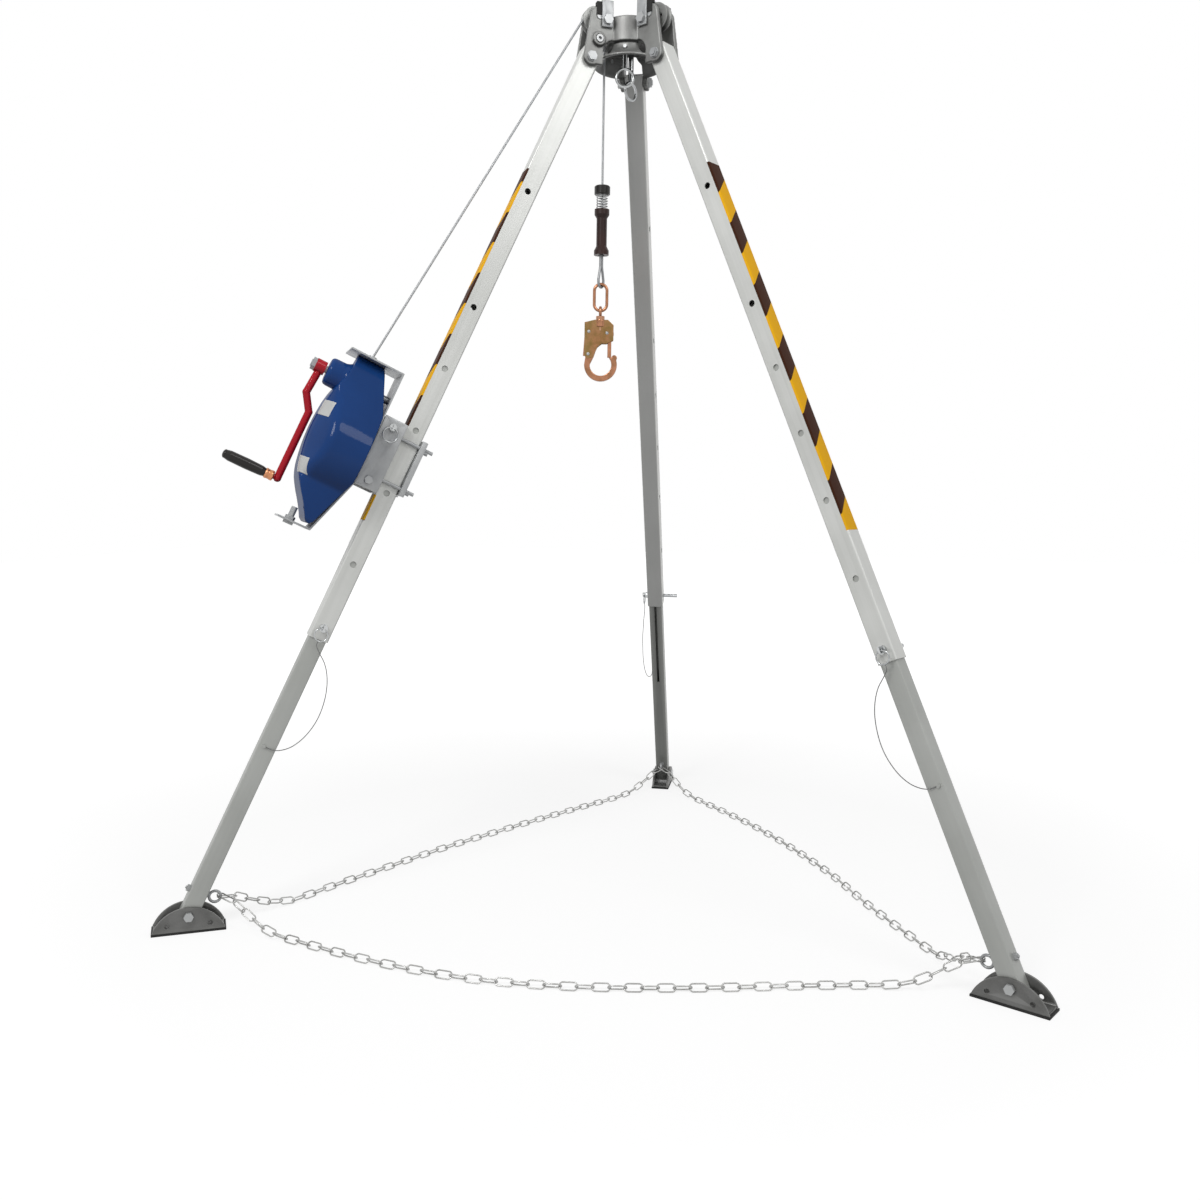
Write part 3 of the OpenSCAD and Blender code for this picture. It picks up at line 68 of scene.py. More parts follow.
# %% [markdown]
# ## The camera
#
# The camera was found by matching the leg holes, the feet and the head of the solids to the
# picture. It could be aimed with a Track To constraint, but a constraint can't hold the small roll
# that the picture has, so the camera's matrix is built from three directions: right, up, and
# backward.

# %% Camera
EYE = Vector((0.420, -2.632, 0.942))
YAW, PITCH, ROLL = math.radians(-10.05), math.radians(-5.36), math.radians(0.917)
LENS_MM, SENSOR_MM = 33.7, 36

forward = Vector((math.sin(YAW) * math.cos(PITCH), math.cos(YAW) * math.cos(PITCH), math.sin(PITCH)))
level = Vector((math.cos(YAW), -math.sin(YAW), 0))
upright = level.cross(forward)
right = math.cos(ROLL) * level + math.sin(ROLL) * upright
up = math.cos(ROLL) * upright - math.sin(ROLL) * level

camera_data = bpy.data.cameras.new("camera")
camera_data.lens = LENS_MM
camera_data.sensor_width = SENSOR_MM
camera_data.clip_start = 0.05
camera = bpy.data.objects.new("camera", camera_data)
camera.matrix_world = Matrix((
    (right.x, up.x, -forward.x, EYE.x),
    (right.y, up.y, -forward.y, EYE.y),
    (right.z, up.z, -forward.z, EYE.z),
    (0, 0, 0, 1),
))
scene.collection.objects.link(camera)
scene.camera = camera
scene.view_settings.view_transform = "Standard"
print("camera at", [round(v, 3) for v in EYE])

# %% [markdown]
# ## Places on a leg
#
# Most pieces sit on a leg that leans. Working in world coordinates would bury every size in sines
# and cosines, so each leg gets a frame of its own: outward, sideways, and down the leg from its
# hinge. `leg_point` turns such a place into a point of the part's frame, and `leg_matrix` does it
# for a whole mesh.

# %% Leg frames
SPLAY = math.radians(25)
LEG_LENGTH = 2.070
HINGE_R = 0.100
PIVOT_H = 0.0365
HINGE_Z = PIVOT_H + LEG_LENGTH * math.cos(SPLAY)
BEARING = {"back": 90, "left": 210, "right": 330}
PIN_SIDE = {"back": 1, "left": 1, "right": -1}


def leg_axes(leg):
    a = math.radians(BEARING[leg])
    outward = Vector((math.cos(SPLAY) * math.cos(a), math.cos(SPLAY) * math.sin(a), math.sin(SPLAY)))
    sideways = Vector((-math.sin(a), math.cos(a), 0))
    down = Vector((math.sin(SPLAY) * math.cos(a), math.sin(SPLAY) * math.sin(a), -math.cos(SPLAY)))
    return outward, sideways, down


def leg_point(leg, n, t, s):
    a = math.radians(BEARING[leg])
    outward, sideways, down = leg_axes(leg)
    hinge = Vector((HINGE_R * math.cos(a), HINGE_R * math.sin(a), HINGE_Z))
    return hinge + n * outward + t * sideways + s * down


def leg_matrix(leg):
    """From leg coordinates (outward, sideways, up the leg) to the part's frame."""
    outward, sideways, down = leg_axes(leg)
    origin = leg_point(leg, 0, 0, 0)
    return Matrix((
        (outward.x, sideways.x, -down.x, origin.x),
        (outward.y, sideways.y, -down.y, origin.y),
        (outward.z, sideways.z, -down.z, origin.z),
        (0, 0, 0, 1),
    ))


print("hinges at height", round(HINGE_Z, 3))

# %% [markdown]
# ## Small tools for meshes
#
# Rope could be a curve object with a round bevel, but a mesh tube can carry its own texture
# coordinates. The first runs round the tube, and the second runs along it in metres, so that a
# shader can lay strands on it.

# %% Objects and smooth lines
def add_object(name, mesh):
    obj = bpy.data.objects.new(name, mesh)
    scene.collection.objects.link(obj)
    return obj


def mesh_object(name, verts, faces, smooth=True):
    mesh = bpy.data.meshes.new(name)
    mesh.from_pydata([tuple(v) for v in verts], [], faces)
    mesh.update()
    for poly in mesh.polygons:
        poly.use_smooth = smooth
    return add_object(name, mesh)


def curve_through(points, steps):
    """A smooth line through the points."""
    line = []
    last = len(points) - 1
    for i in range(last):
        p0, p1, p2, p3 = points[max(i - 1, 0)], points[i], points[i + 1], points[min(i + 2, last)]
        for k in range(steps):
            t = k / steps
            line.append((2 * p1 + (p2 - p0) * t + (2 * p0 - 5 * p1 + 4 * p2 - p3) * t ** 2
                         + (3 * p1 - 3 * p2 + p3 - p0) * t ** 3) / 2)
    line.append(points[-1])
    return line


def path_length(points):
    return sum((b - a).length for a, b in zip(points, points[1:]))


# %% A tube along a line
def tube(name, points, radius, sides=12):
    verts, along = [], [0.0]
    for a, b in zip(points, points[1:]):
        along.append(along[-1] + (b - a).length)
    side = None
    for i, p in enumerate(points):
        ahead = (points[min(i + 1, len(points) - 1)] - points[max(i - 1, 0)]).normalized()
        if side is None:
            side = ahead.orthogonal().normalized()
        side = (side - side.dot(ahead) * ahead).normalized()
        other = ahead.cross(side)
        for k in range(sides):
            angle = 2 * math.pi * k / sides
            verts.append(p + radius * (math.cos(angle) * side + math.sin(angle) * other))
    faces = []
    for i in range(len(points) - 1):
        for k in range(sides):
            n = (k + 1) % sides
            faces.append((i * sides + k, i * sides + n, (i + 1) * sides + n, (i + 1) * sides + k))
    faces.append(tuple(reversed(range(sides))))
    last = (len(points) - 1) * sides
    faces.append(tuple(range(last, last + sides)))
    obj = mesh_object(name, verts, faces)
    layer = obj.data.uv_layers.new(name="along")
    for poly in obj.data.polygons[:-2]:
        k = poly.index % sides
        for loop, corner in zip(poly.loop_indices, ((k, 0), (k + 1, 0), (k + 1, 1), (k, 1))):
            ring = poly.index // sides + corner[1]
            layer.data[loop].uv = (corner[0] / sides, along[ring])
    return obj


# %% [markdown]
# ## Lanyards
#
# Each lock pin hangs on a thin wire lanyard, so that it can't be lost. It leaves the pin's ring,
# bows to the inward side of the leg, and ends at a stud on the lower tube. Both ends are on the
# object, so its length is what the bow shows. A bevelled curve could make it, but the mesh tube
# carries coordinates for the strands. The points are the ones that the solids use, and a smooth
# line through them gives the bow.

# %% Three wire lanyards
LANYARD_D = 0.002
LANYARD_STEPS, LANYARD_SIDES = 4, 8
LANYARD_POINTS = [
    (0.000, 0.0346, 1.4290), (-0.001, 0.0344, 1.438), (-0.013, 0.034, 1.450), (-0.031, 0.0345, 1.465),
    (-0.046, 0.035, 1.485), (-0.058, 0.036, 1.511), (-0.066, 0.036, 1.542), (-0.069, 0.036, 1.575),
    (-0.066, 0.035, 1.606), (-0.057, 0.033, 1.636), (-0.043, 0.030, 1.660), (-0.026, 0.026, 1.675),
    (-0.010, 0.023, 1.681), (0.0034, 0.021, 1.680),
]
lanyards = {}
for leg in BEARING:
    points = [leg_point(leg, n, PIN_SIDE[leg] * t, s) for n, t, s in LANYARD_POINTS]
    line = curve_through(points, LANYARD_STEPS)
    lanyard = tube(f"wire_lanyard_{leg}", line, LANYARD_D / 2, LANYARD_SIDES)
    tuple(line[0])
    path_length(line)
    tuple(line[0])
    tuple(line[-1])
    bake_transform(lanyard)
    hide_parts(f"lanyard_{leg}")
    lanyards[leg] = lanyard
    print(lanyard.name, round(path_length(line), 3), "m")

# %% [markdown]
# ## The line
#
# The steel line runs from the winch drum through the cable guide, up beside the leg to the left
# sheave, round it, and down to the grip. It could be a curve with a bevel, but it is taut, so
# straight stretches and one arc of the same tube are enough.

# %% Line from the drum to the sheave
LINE_D = 0.005
SHEAVE_R, SHEAVE_H, LINE_ON_SHEAVE = 0.083, 0.088, 0.024
LINE_HANG_R = SHEAVE_R - LINE_ON_SHEAVE
GUIDE_N, GUIDE_TOP_S, GUIDE_END_S = 0.146, 0.820, 0.838
DRUM_END, GUIDE_BEND = (0.122, -0.063, 0.965), (0.131, -0.014, 0.856)
ARC_STEPS, RISE_STEPS = 16, 12
left_bearing = math.radians(BEARING["left"])


def left_plane(r, z):
    return Vector((r * math.cos(left_bearing), r * math.sin(left_bearing), HINGE_Z + z))


guide_r = HINGE_R + GUIDE_N * math.cos(SPLAY) + GUIDE_TOP_S * math.sin(SPLAY)
guide_z = GUIDE_N * math.sin(SPLAY) - GUIDE_TOP_S * math.cos(SPLAY)
guide_span = math.hypot(guide_r - SHEAVE_R, guide_z - SHEAVE_H)
touch = math.atan2(guide_z - SHEAVE_H, guide_r - SHEAVE_R) + math.acos(LINE_ON_SHEAVE / guide_span)
arc = []
for k in range(ARC_STEPS + 1):
    a = touch + (math.pi - touch) * k / ARC_STEPS
    arc.append(left_plane(SHEAVE_R + LINE_ON_SHEAVE * math.cos(a),
                          SHEAVE_H + LINE_ON_SHEAVE * math.sin(a)))
drum_points = [leg_point("left", *place) for place in
               (DRUM_END, GUIDE_BEND, (GUIDE_N, 0.0, GUIDE_END_S), (GUIDE_N, 0.0, GUIDE_TOP_S))]
rise = [drum_points[-1].lerp(arc[0], k / RISE_STEPS) for k in range(1, RISE_STEPS)]
winch_line = tube("winch_line", drum_points + rise + arc, LINE_D / 2)
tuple(drum_points[-1])
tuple(arc[0])
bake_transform(winch_line)
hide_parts("winch_cable")
print("winch line", round(path_length(drum_points + rise + arc), 3), "m")

# %% Line from the sheave to the grip
LINE_DROP, GRIP_LEN, LINE_IN_GRIP = 0.409, 0.102, 0.024
HANG_STEPS, STRETCH_SHARE = 24, 0.55
hang_top = left_plane(LINE_HANG_R, SHEAVE_H)
hang_low = left_plane(LINE_HANG_R, SHEAVE_H - LINE_DROP - GRIP_LEN + LINE_IN_GRIP)
hang_points = [hang_top.lerp(hang_low, k / HANG_STEPS) for k in range(HANG_STEPS + 1)]
hang_line = tube("hanging_line", hang_points, LINE_D / 2)
hang_top.lerp(hang_low, STRETCH_SHARE)
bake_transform(hang_line)
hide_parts("lift_cable")
print("hanging line", round((hang_top - hang_low).length, 3), "m")

# %% [markdown]
# ## Bumper spring
#
# A short spring between the grip and its collar softens the stop when the hook is wound right up. A
# screw modifier could make it, but the tube tool is here already, and a formula gives its line.

# %% A fine coil
SPRING_R, SPRING_H, SPRING_WIRE, SPRING_TURNS = 0.012, 0.032, 0.0024, 5
COIL_STEPS, WIRE_SIDES = 28, 10
spring_foot = left_plane(LINE_HANG_R, SHEAVE_H - LINE_DROP)
coil = []
for k in range(SPRING_TURNS * COIL_STEPS + 1):
    a = 2 * math.pi * k / COIL_STEPS
    z = SPRING_WIRE / 2 + (SPRING_H - SPRING_WIRE) * k / (SPRING_TURNS * COIL_STEPS)
    coil.append(spring_foot + Vector((SPRING_R * math.cos(a), SPRING_R * math.sin(a), z)))
bumper_spring = tube("bumper_spring", coil, SPRING_WIRE / 2, WIRE_SIDES)
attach(bumper_spring, "line_end")
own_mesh(bumper_spring)
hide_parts("line_spring")
print("spring wire", round(path_length(coil), 3), "m")

# %% [markdown]
# ## Chains
#
# Three light chains lie on the floor between the feet and keep the legs from spreading. An array
# modifier along a curve would bend each link, but steel links stay stiff and turn a quarter from
# one to the next. So each link is placed by code between two points of the route, with the same
# routes and the same turns as the solids.

# %% Routes on the floor
LINK_IN, LINK_GAP, LINK_BAR, LINK_T = 0.032, 0.012, 0.004, 0.0026
LINK_PLAY = 0.00088
EYE_R, EYE_WIRE = 0.012, 0.006
EYE_N, EYE_S = -0.036, LEG_LENGTH - 0.050
EYE_STEP = math.radians(12)
EYE_SLACK, FLOOR_GAP = 0.0011, 0.0003
EYE_PLAY = EYE_WIRE / 2 + EYE_SLACK
CHAIN_Z = ((LINK_GAP + 2 * LINK_BAR) / 2 + LINK_T / 2) * math.sin(math.radians(45)) + FLOOR_GAP
ROUTE_STEPS = 5


def eye_grip(leg, above):
    a = math.radians(BEARING[leg])
    inward = Vector((-math.cos(a), -math.sin(a), 0))
    centre = leg_point(leg, EYE_N, 0, EYE_S)
    rise = above * math.sin(EYE_STEP) * Vector((0, 0, 1))
    return centre + EYE_R * (math.cos(EYE_STEP) * inward + rise)


def chain_lead(grip, heading):
    """Points from an eye down to the floor, as (distance out, height)."""
    h = math.radians(heading)
    steps = ((0, grip.z), (0.034, grip.z - 0.006), (0.072, grip.z - 0.024),
             (0.112, 0.024), (0.152, 0.013))
    return [Vector((grip.x + d * math.cos(h), grip.y + d * math.sin(h), z)) for d, z in steps]


def floor_route(first, floor_points, last):
    middle = [Vector((x, y, CHAIN_Z)) for x, y in floor_points]
    line = curve_through(first + middle + last[::-1], ROUTE_STEPS)
    line = [Vector((p.x, p.y, max(p.z, CHAIN_Z))) for p in line[:-1]] + line[-1:]
    line[0] = line[0] + EYE_PLAY * (line[0] - line[1]).normalized()
    line[-1] = line[-1] + EYE_PLAY * (line[-1] - line[-2]).normalized()
    return line


def point_at(line, distance):
    for a, b in zip(line, line[1:]):
        step = (b - a).length
        if distance <= step:
            return a.lerp(b, distance / step)
        distance -= step
    return line[-1].copy()


# %% One round-bar link
LINK_R = 0.0016
LINK_SIDES, BAR_SIDES = 16, 8


def link_mesh(inside_len):
    """Points and faces of one link in the XZ plane."""
    bend = (LINK_GAP + LINK_BAR) / 2
    half = (inside_len - LINK_GAP) / 2
    ring = []
    for k in range(LINK_SIDES):
        a = 2 * math.pi * (k + 0.5) / LINK_SIDES
        ring.append((bend * math.cos(a), bend * math.sin(a) + math.copysign(half, math.sin(a)), a))
    verts, faces = [], []
    for x, z, a in ring:
        for j in range(BAR_SIDES):
            b = 2 * math.pi * j / BAR_SIDES
            reach = LINK_R * math.cos(b)
            verts.append(Vector((x + reach * math.cos(a), LINK_R * math.sin(b),
                                 z + reach * math.sin(a))))
    for k in range(LINK_SIDES):
        for j in range(BAR_SIDES):
            n, m = (k + 1) % LINK_SIDES, (j + 1) % BAR_SIDES
            faces.append((k * BAR_SIDES + j, k * BAR_SIDES + m, n * BAR_SIDES + m, n * BAR_SIDES + j))
    return verts, faces


TWIST_LINKS = 4


def chain_links(line):
    """One (points, faces, distance along) for each link."""
    total = path_length(line)
    step = LINK_IN - LINK_PLAY
    count = int(total / step)
    spare = (total - count * step) / 2
    end_turn = -45 if count % 2 else 45
    for i in range(count):
        start = 0 if i == 0 else spare + i * step
        end = total if i == count - 1 else spare + (i + 1) * step
        p, q = point_at(line, start), point_at(line, end)
        v = q - p
        twist = 45 * min(1, i / TWIST_LINKS) + end_turn * max(0, 1 - (count - 1 - i) / TWIST_LINKS)
        lean = Matrix.Rotation(math.acos(v.z / v.length), 4, "Y")
        turn = Matrix.Rotation(math.atan2(v.y, v.x), 4, "Z") @ lean
        roll = Matrix.Rotation(math.radians(90 * ((i + 1) % 2) + twist), 4, "Z")
        place = Matrix.Translation((p + q) / 2) @ turn @ roll
        verts, faces = link_mesh(end - start + LINK_PLAY)
        yield [place @ w for w in verts], faces, (start + end) / 2


# %% [markdown]
# A chain joins two feet that move apart, and a piece can follow only two bodies that share a joint.
# So each chain is cut into four pieces. The links near a foot stay where they are placed, and the
# links further on ride on the upper leg.

# %% Three chains in four pieces each
CHAINS = {
    "front": ("left", 1, -18, "right", 1, 188,
              [(-0.600, -0.512), (-0.470, -0.556), (-0.320, -0.596), (-0.160, -0.617), (0.0, -0.611),
               (0.150, -0.587), (0.300, -0.553), (0.450, -0.512), (0.590, -0.480)]),
    "left": ("back", -1, 236, "left", -1, 60,
             [(-0.125, 0.720), (-0.210, 0.590), (-0.310, 0.430), (-0.405, 0.270), (-0.493, 0.115),
              (-0.570, -0.040), (-0.640, -0.180), (-0.690, -0.290)]),
    "right": ("back", 1, 314, "right", -1, 113,
              [(0.140, 0.760), (0.235, 0.640), (0.340, 0.490), (0.440, 0.320), (0.525, 0.150),
               (0.592, -0.020), (0.655, -0.160), (0.712, -0.280)]),
}
NEAR, BUNCHED = 0.38, 0.12

chain_pieces = []
for name, (leg_a, above_a, heading_a, leg_b, above_b, heading_b, floor_points) in CHAINS.items():
    line = floor_route(chain_lead(eye_grip(leg_a, above_a), heading_a), floor_points,
                       chain_lead(eye_grip(leg_b, above_b), heading_b))
    total = path_length(line)
    spans = [
        ("a_near", 0, NEAR, leg_a),
        ("a_far", NEAR, total / 2, leg_a),
        ("b_far", total - NEAR, total / 2, leg_b),
        ("b_near", total, total - NEAR, leg_b),
    ]
    groups = {span[0]: ([], []) for span in spans}
    for verts, faces, at in chain_links(line):
        for key, start, end, leg in spans:
            if min(start, end) <= at < max(start, end):
                all_verts, all_faces = groups[key]
                offset = len(all_verts)
                all_verts.extend(verts)
                all_faces.extend(tuple(offset + i for i in f) for f in faces)
    for key, start, end, leg in spans:
        piece = mesh_object(f"chain_{name}_{key}", *groups[key])
        first, last = point_at(line, start), point_at(line, end)
        if key.endswith("near"):
            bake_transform(piece)
            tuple(first)
            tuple(last)
        else:
            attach(piece, f"upper_{leg}")
            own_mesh(piece)
            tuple(first)
        chain_pieces.append(piece)
    print("chain", name, round(total, 3), "m")
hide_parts("foot_chains")

# %% [markdown]
# ## Lower tubes
#
# Each lower tube is an extrusion with rounded corners, which slides in the upper tube. A cube with
# a bevel would do for the outside, but the slot in the inward face shows that the tube is hollow.
# So an outline is drawn twice, for the outside and the bore, and a boolean cuts the slot. The stud
# that holds the lanyard is part of the tube.

# %% Tools for square tubes
def round_square(width, corner, steps=4):
    half = width / 2 - corner
    outline = []
    for quarter, (sx, sy) in enumerate(((1, 1), (-1, 1), (-1, -1), (1, -1))):
        for k in range(steps + 1):
            a = math.radians(90 * (quarter + k / steps))
            outline.append((sx * half + corner * math.cos(a), sy * half + corner * math.sin(a)))
    return outline


def box_mesh(name, low, high):
    x0, y0, z0 = low
    x1, y1, z1 = high
    verts = [(x, y, z) for x in (x0, x1) for y in (y0, y1) for z in (z0, z1)]
    faces = [(0, 1, 3, 2), (4, 6, 7, 5), (0, 4, 5, 1), (2, 3, 7, 6), (0, 2, 6, 4), (1, 5, 7, 3)]
    return mesh_object(name, verts, faces, smooth=False)


def apply_modifiers(obj):
    graph = bpy.context.evaluated_depsgraph_get()
    mesh = bpy.data.meshes.new_from_object(obj.evaluated_get(graph))
    obj.modifiers.clear()
    obj.data = mesh
    return obj


def square_tube(name, width, corner, wall, s0, s1):
    """A tube in leg coordinates, open at both ends."""
    outer = round_square(width, corner)
    inner = round_square(width - 2 * wall, max(corner - wall, 0.0005))
    count = len(outer)
    verts = []
    for s in (s0, s1):
        verts += [(x, y, -s) for x, y in outer] + [(x, y, -s) for x, y in inner]
    faces = []
    for k in range(count):
        n = (k + 1) % count
        faces.append((k, 2 * count + k, 2 * count + n, n))
        faces.append((count + k, count + n, 3 * count + n, 3 * count + k))
        faces.append((k, n, count + n, count + k))
        faces.append((2 * count + k, 3 * count + k, 3 * count + n, 2 * count + n))
    return mesh_object(name, verts, faces)


def merge(target, *others):
    work = bmesh.new()
    for obj in (target, *others):
        work.from_mesh(obj.data)
    bmesh.ops.recalc_face_normals(work, faces=work.faces)
    work.to_mesh(target.data)
    work.free()
    for obj in others:
        bpy.data.objects.remove(obj)


# %% Three lower tubes
LOWER_W, LOWER_CORNER, LOWER_WALL = 0.038, 0.0025, 0.003
LOWER_TOP, LOWER_END = 0.700, LEG_LENGTH + 0.016
SLOT_W, SLOT_TOP, SLOT_END = 0.007, 1.398, 1.700
STUD_N, STUD_S = 0.008, 1.680
STUD_R, STUD_IN, STUD_OUT, STUD_SIDES = 0.004, 0.001, 0.004, 16
CREASE = math.radians(40)
lower_tubes = {}
for leg in BEARING:
    body = square_tube(f"lower_tube_{leg}", LOWER_W, LOWER_CORNER, LOWER_WALL, LOWER_TOP, LOWER_END)
    cutter = box_mesh("slot_cutter", (-LOWER_W, -SLOT_W / 2, -SLOT_END),
                      (-LOWER_WALL, SLOT_W / 2, -SLOT_TOP))
    cut = body.modifiers.new("slot", "BOOLEAN")
    cut.operation = "DIFFERENCE"
    cut.object = cutter
    cut.solver = "EXACT"
    apply_modifiers(body)
    bpy.data.objects.remove(cutter)
    face = PIN_SIDE[leg] * LOWER_W / 2
    stud_ends = [Vector((STUD_N, face + PIN_SIDE[leg] * reach, -STUD_S))
                 for reach in (-STUD_IN, STUD_OUT)]
    merge(body, tube("stud", stud_ends, STUD_R, STUD_SIDES))
    body.data.set_sharp_from_angle(angle=CREASE)
    body.data.transform(leg_matrix(leg))
    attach(body, f"lower_{leg}")
    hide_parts(f"lower_leg_{leg}")
    lower_tubes[leg] = body
print(len(lower_tubes), "lower tubes")

# %% [markdown]
# ## Soft edges on the castings
#
# The head is a sand casting, and the hook is forged, so neither has a sharp edge. A bevel modifier
# is the usual way to round edges, but these meshes have many short edges round their holes, and a
# bevel stops at the shortest one. A voxel remesh is more forgiving: it wraps the shape in an even
# skin of small squares, and a few rounds of smoothing then melt the edges, as the mould does.

# %% A smooth skin for castings
def smooth_skin(node, body, voxel, rounds):
    obj = add_object(f"{node}_skin", nodes[node].data.copy())
    obj.data.materials.clear()
    skin = obj.modifiers.new("skin", "REMESH")
    skin.mode = "VOXEL"
    skin.voxel_size = voxel
    melt = obj.modifiers.new("melt", "SMOOTH")
    melt.factor = 0.5
    melt.iterations = rounds
    apply_modifiers(obj)
    for poly in obj.data.polygons:
        poly.use_smooth = True
    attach(obj, body)
    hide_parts(node)
    print(obj.name, len(obj.data.polygons), "faces")
    return obj


soft = {
    "head_casting": smooth_skin("head_casting", "head", 0.0016, 5),
    "hook_body": smooth_skin("hook_body", "hook", 0.0010, 6),
    "hook_gate": smooth_skin("hook_gate", "gate", 0.0008, 3),
    "hook_lever": smooth_skin("hook_lever", "lever", 0.0008, 3),
}

# %% [markdown]
# ## Broken edges on the plates
#
# Cut plates, the feet and their soles keep their flat faces, but no real edge is perfectly sharp,
# and the thin bright line along an edge is what makes sheet metal look real. A remesh would soften
# the flat faces too. Here a bevel works, because a small width with its overlap check off is still
# far below the size of any hole.

# %% Plates with a fine bevel
SAME_PLACE, FLAT_ANGLE = 1e-6, math.radians(0.6)
EDGE_ANGLE, SHARP_ANGLE = math.radians(40), math.radians(32)


def broken_edges(node, body, width):
    mesh = nodes[node].data.copy()
    work = bmesh.new()
    work.from_mesh(mesh)
    bmesh.ops.remove_doubles(work, verts=work.verts, dist=SAME_PLACE)
    bmesh.ops.dissolve_limit(work, angle_limit=FLAT_ANGLE, verts=work.verts, edges=work.edges)
    work.to_mesh(mesh)
    work.free()
    mesh.materials.clear()
    obj = add_object(f"{node}_plate", mesh)
    bevel = obj.modifiers.new("edge", "BEVEL")
    bevel.width = width
    bevel.segments = 2
    bevel.limit_method = "ANGLE"
    bevel.angle_limit = EDGE_ANGLE
    bevel.use_clamp_overlap = False
    apply_modifiers(obj)
    for poly in obj.data.polygons:
        poly.use_smooth = True
    obj.data.set_sharp_from_angle(angle=SHARP_ANGLE)
    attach(obj, body)
    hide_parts(node)
    return obj


PLATE_EDGE = 0.0006
for node, body in (("keeper_straps", "head"), ("leg_bracket", "upper_left"),
                   ("clamp_strap", "upper_left"), ("winch_frame", "upper_left")):
    soft[node] = broken_edges(node, body, PLATE_EDGE)
for leg in BEARING:
    soft[f"foot_{leg}"] = broken_edges(f"foot_{leg}", f"foot_{leg}", PLATE_EDGE)
    soft[f"sole_{leg}"] = broken_edges(f"sole_{leg}", f"foot_{leg}", PLATE_EDGE)
print(len(soft), "pieces softened")

# %% [markdown]
# ## The winch housing
#
# The housing is a deep moulded cover over the drum and the gears, with a crank face that rises from
# both sides to a flat crest. It could be a box with bevels, but its walls lean and its outline
# narrows towards the crank, so it is lofted: each slice across the leg is an outline with rounded
# corners, and the slices are joined.

# %% Outlines of the housing
CREST_N, CREST_DROP, CREST_HALF = 0.205, 0.040, 0.037
CROWN_S, CROWN_R = 0.866, 0.034
FACE_S, FACE_R, FOOT_HALF = 1.036, 0.110, 0.074
HOUSING_TOP, HOUSING_END = CROWN_S - CROWN_R, 1.207
CRANK_FACE = ((0.800, 0.175), (0.828, 0.176), (0.882, 0.178), (0.930, 0.198), (0.991, 0.205),
              (1.035, 0.205), (1.078, 0.200), (1.126, 0.189), (1.166, 0.157), (1.207, 0.134),
              (1.230, 0.124))
BACK_FACE = ((0.800, 0.126), (0.828, 0.117), (0.940, 0.0803), (1.095, 0.0813), (1.207, 0.122),
             (1.230, 0.130))
EASE_REACH = 0.026


def along_profile(profile, s):
    for (s0, n0), (s1, n1) in zip(profile, profile[1:]):
        if s <= s1:
            return n0 + (n1 - n0) * (s - s0) / (s1 - s0)
    return profile[-1][1]


def eased(profile, s, reach):
    """The profile with its corners eased over a short reach."""
    return sum(along_profile(profile, s + reach * k / 3) for k in range(-3, 4)) / 7


def half_width(s):
    lean = math.asin((FACE_R - CROWN_R) / (FACE_S - CROWN_S))
    crown_end, face_start = CROWN_S - CROWN_R * math.sin(lean), FACE_S - FACE_R * math.sin(lean)
    if s < crown_end:
        return math.sqrt(max(CROWN_R ** 2 - (s - CROWN_S) ** 2, 0))
    if s < face_start:
        share = (s - crown_end) / (face_start - crown_end)
        return (CROWN_R + (FACE_R - CROWN_R) * share) * math.cos(lean)
    round_half = math.sqrt(max(FACE_R ** 2 - (s - FACE_S) ** 2, 0))
    return round_half if s < FACE_S else max(round_half, FOOT_HALF)


def slope_face(t):
    return CREST_N - CREST_DROP * (t - CREST_HALF) / (FACE_R - CREST_HALF)


def ridge_height(s):
    return min(eased(CRANK_FACE, s, EASE_REACH), slope_face(half_width(s)))


# %% One slice across the housing
CORNER_STEPS, CORNER_SHARE = 6, 0.45
RIDGE_STEP, RIDGE_RIM, TOP_RIM, TOP_SHARE = 0.010, 0.002, 0.001, 0.3
EDGE_R, SHOULDER_R = 0.003, 0.016


def rounded(corners, radii):
    """The outline with each corner turned into a short smooth curve."""
    outline = []
    for i, corner in enumerate(corners):
        before, after = corners[i - 1] - corner, corners[(i + 1) % len(corners)] - corner
        a = corner + before * min(CORNER_SHARE, radii[i] / max(before.length, SAME_PLACE))
        b = corner + after * min(CORNER_SHARE, radii[i] / max(after.length, SAME_PLACE))
        for k in range(CORNER_STEPS + 1):
            u = k / CORNER_STEPS
            outline.append((1 - u) ** 2 * a + 2 * u * (1 - u) * corner + u ** 2 * b)
    return outline


def housing_slice(s, inset):
    low, high = along_profile(BACK_FACE, s) + inset, eased(CRANK_FACE, s, EASE_REACH) - inset
    half = half_width(s) - inset
    shoulder = sum(ridge_height(s + RIDGE_STEP * k) for k in range(-4, 5)) / 9
    ridge = min(high - RIDGE_RIM, shoulder - inset)
    top_half = min(half - TOP_RIM, CREST_HALF + (CREST_N - high) * (FACE_R - CREST_HALF) / CREST_DROP)
    top_half = max(top_half, TOP_SHARE * half)
    corners = [(low, -half), (low, half), (ridge, half),
               (high, top_half), (high, -top_half), (ridge, -half)]
    radii = (EDGE_R, EDGE_R, SHOULDER_R, SHOULDER_R, SHOULDER_R, SHOULDER_R)
    return [Vector((p.x, p.y, -s)) for p in rounded([Vector(c) for c in corners], radii)]


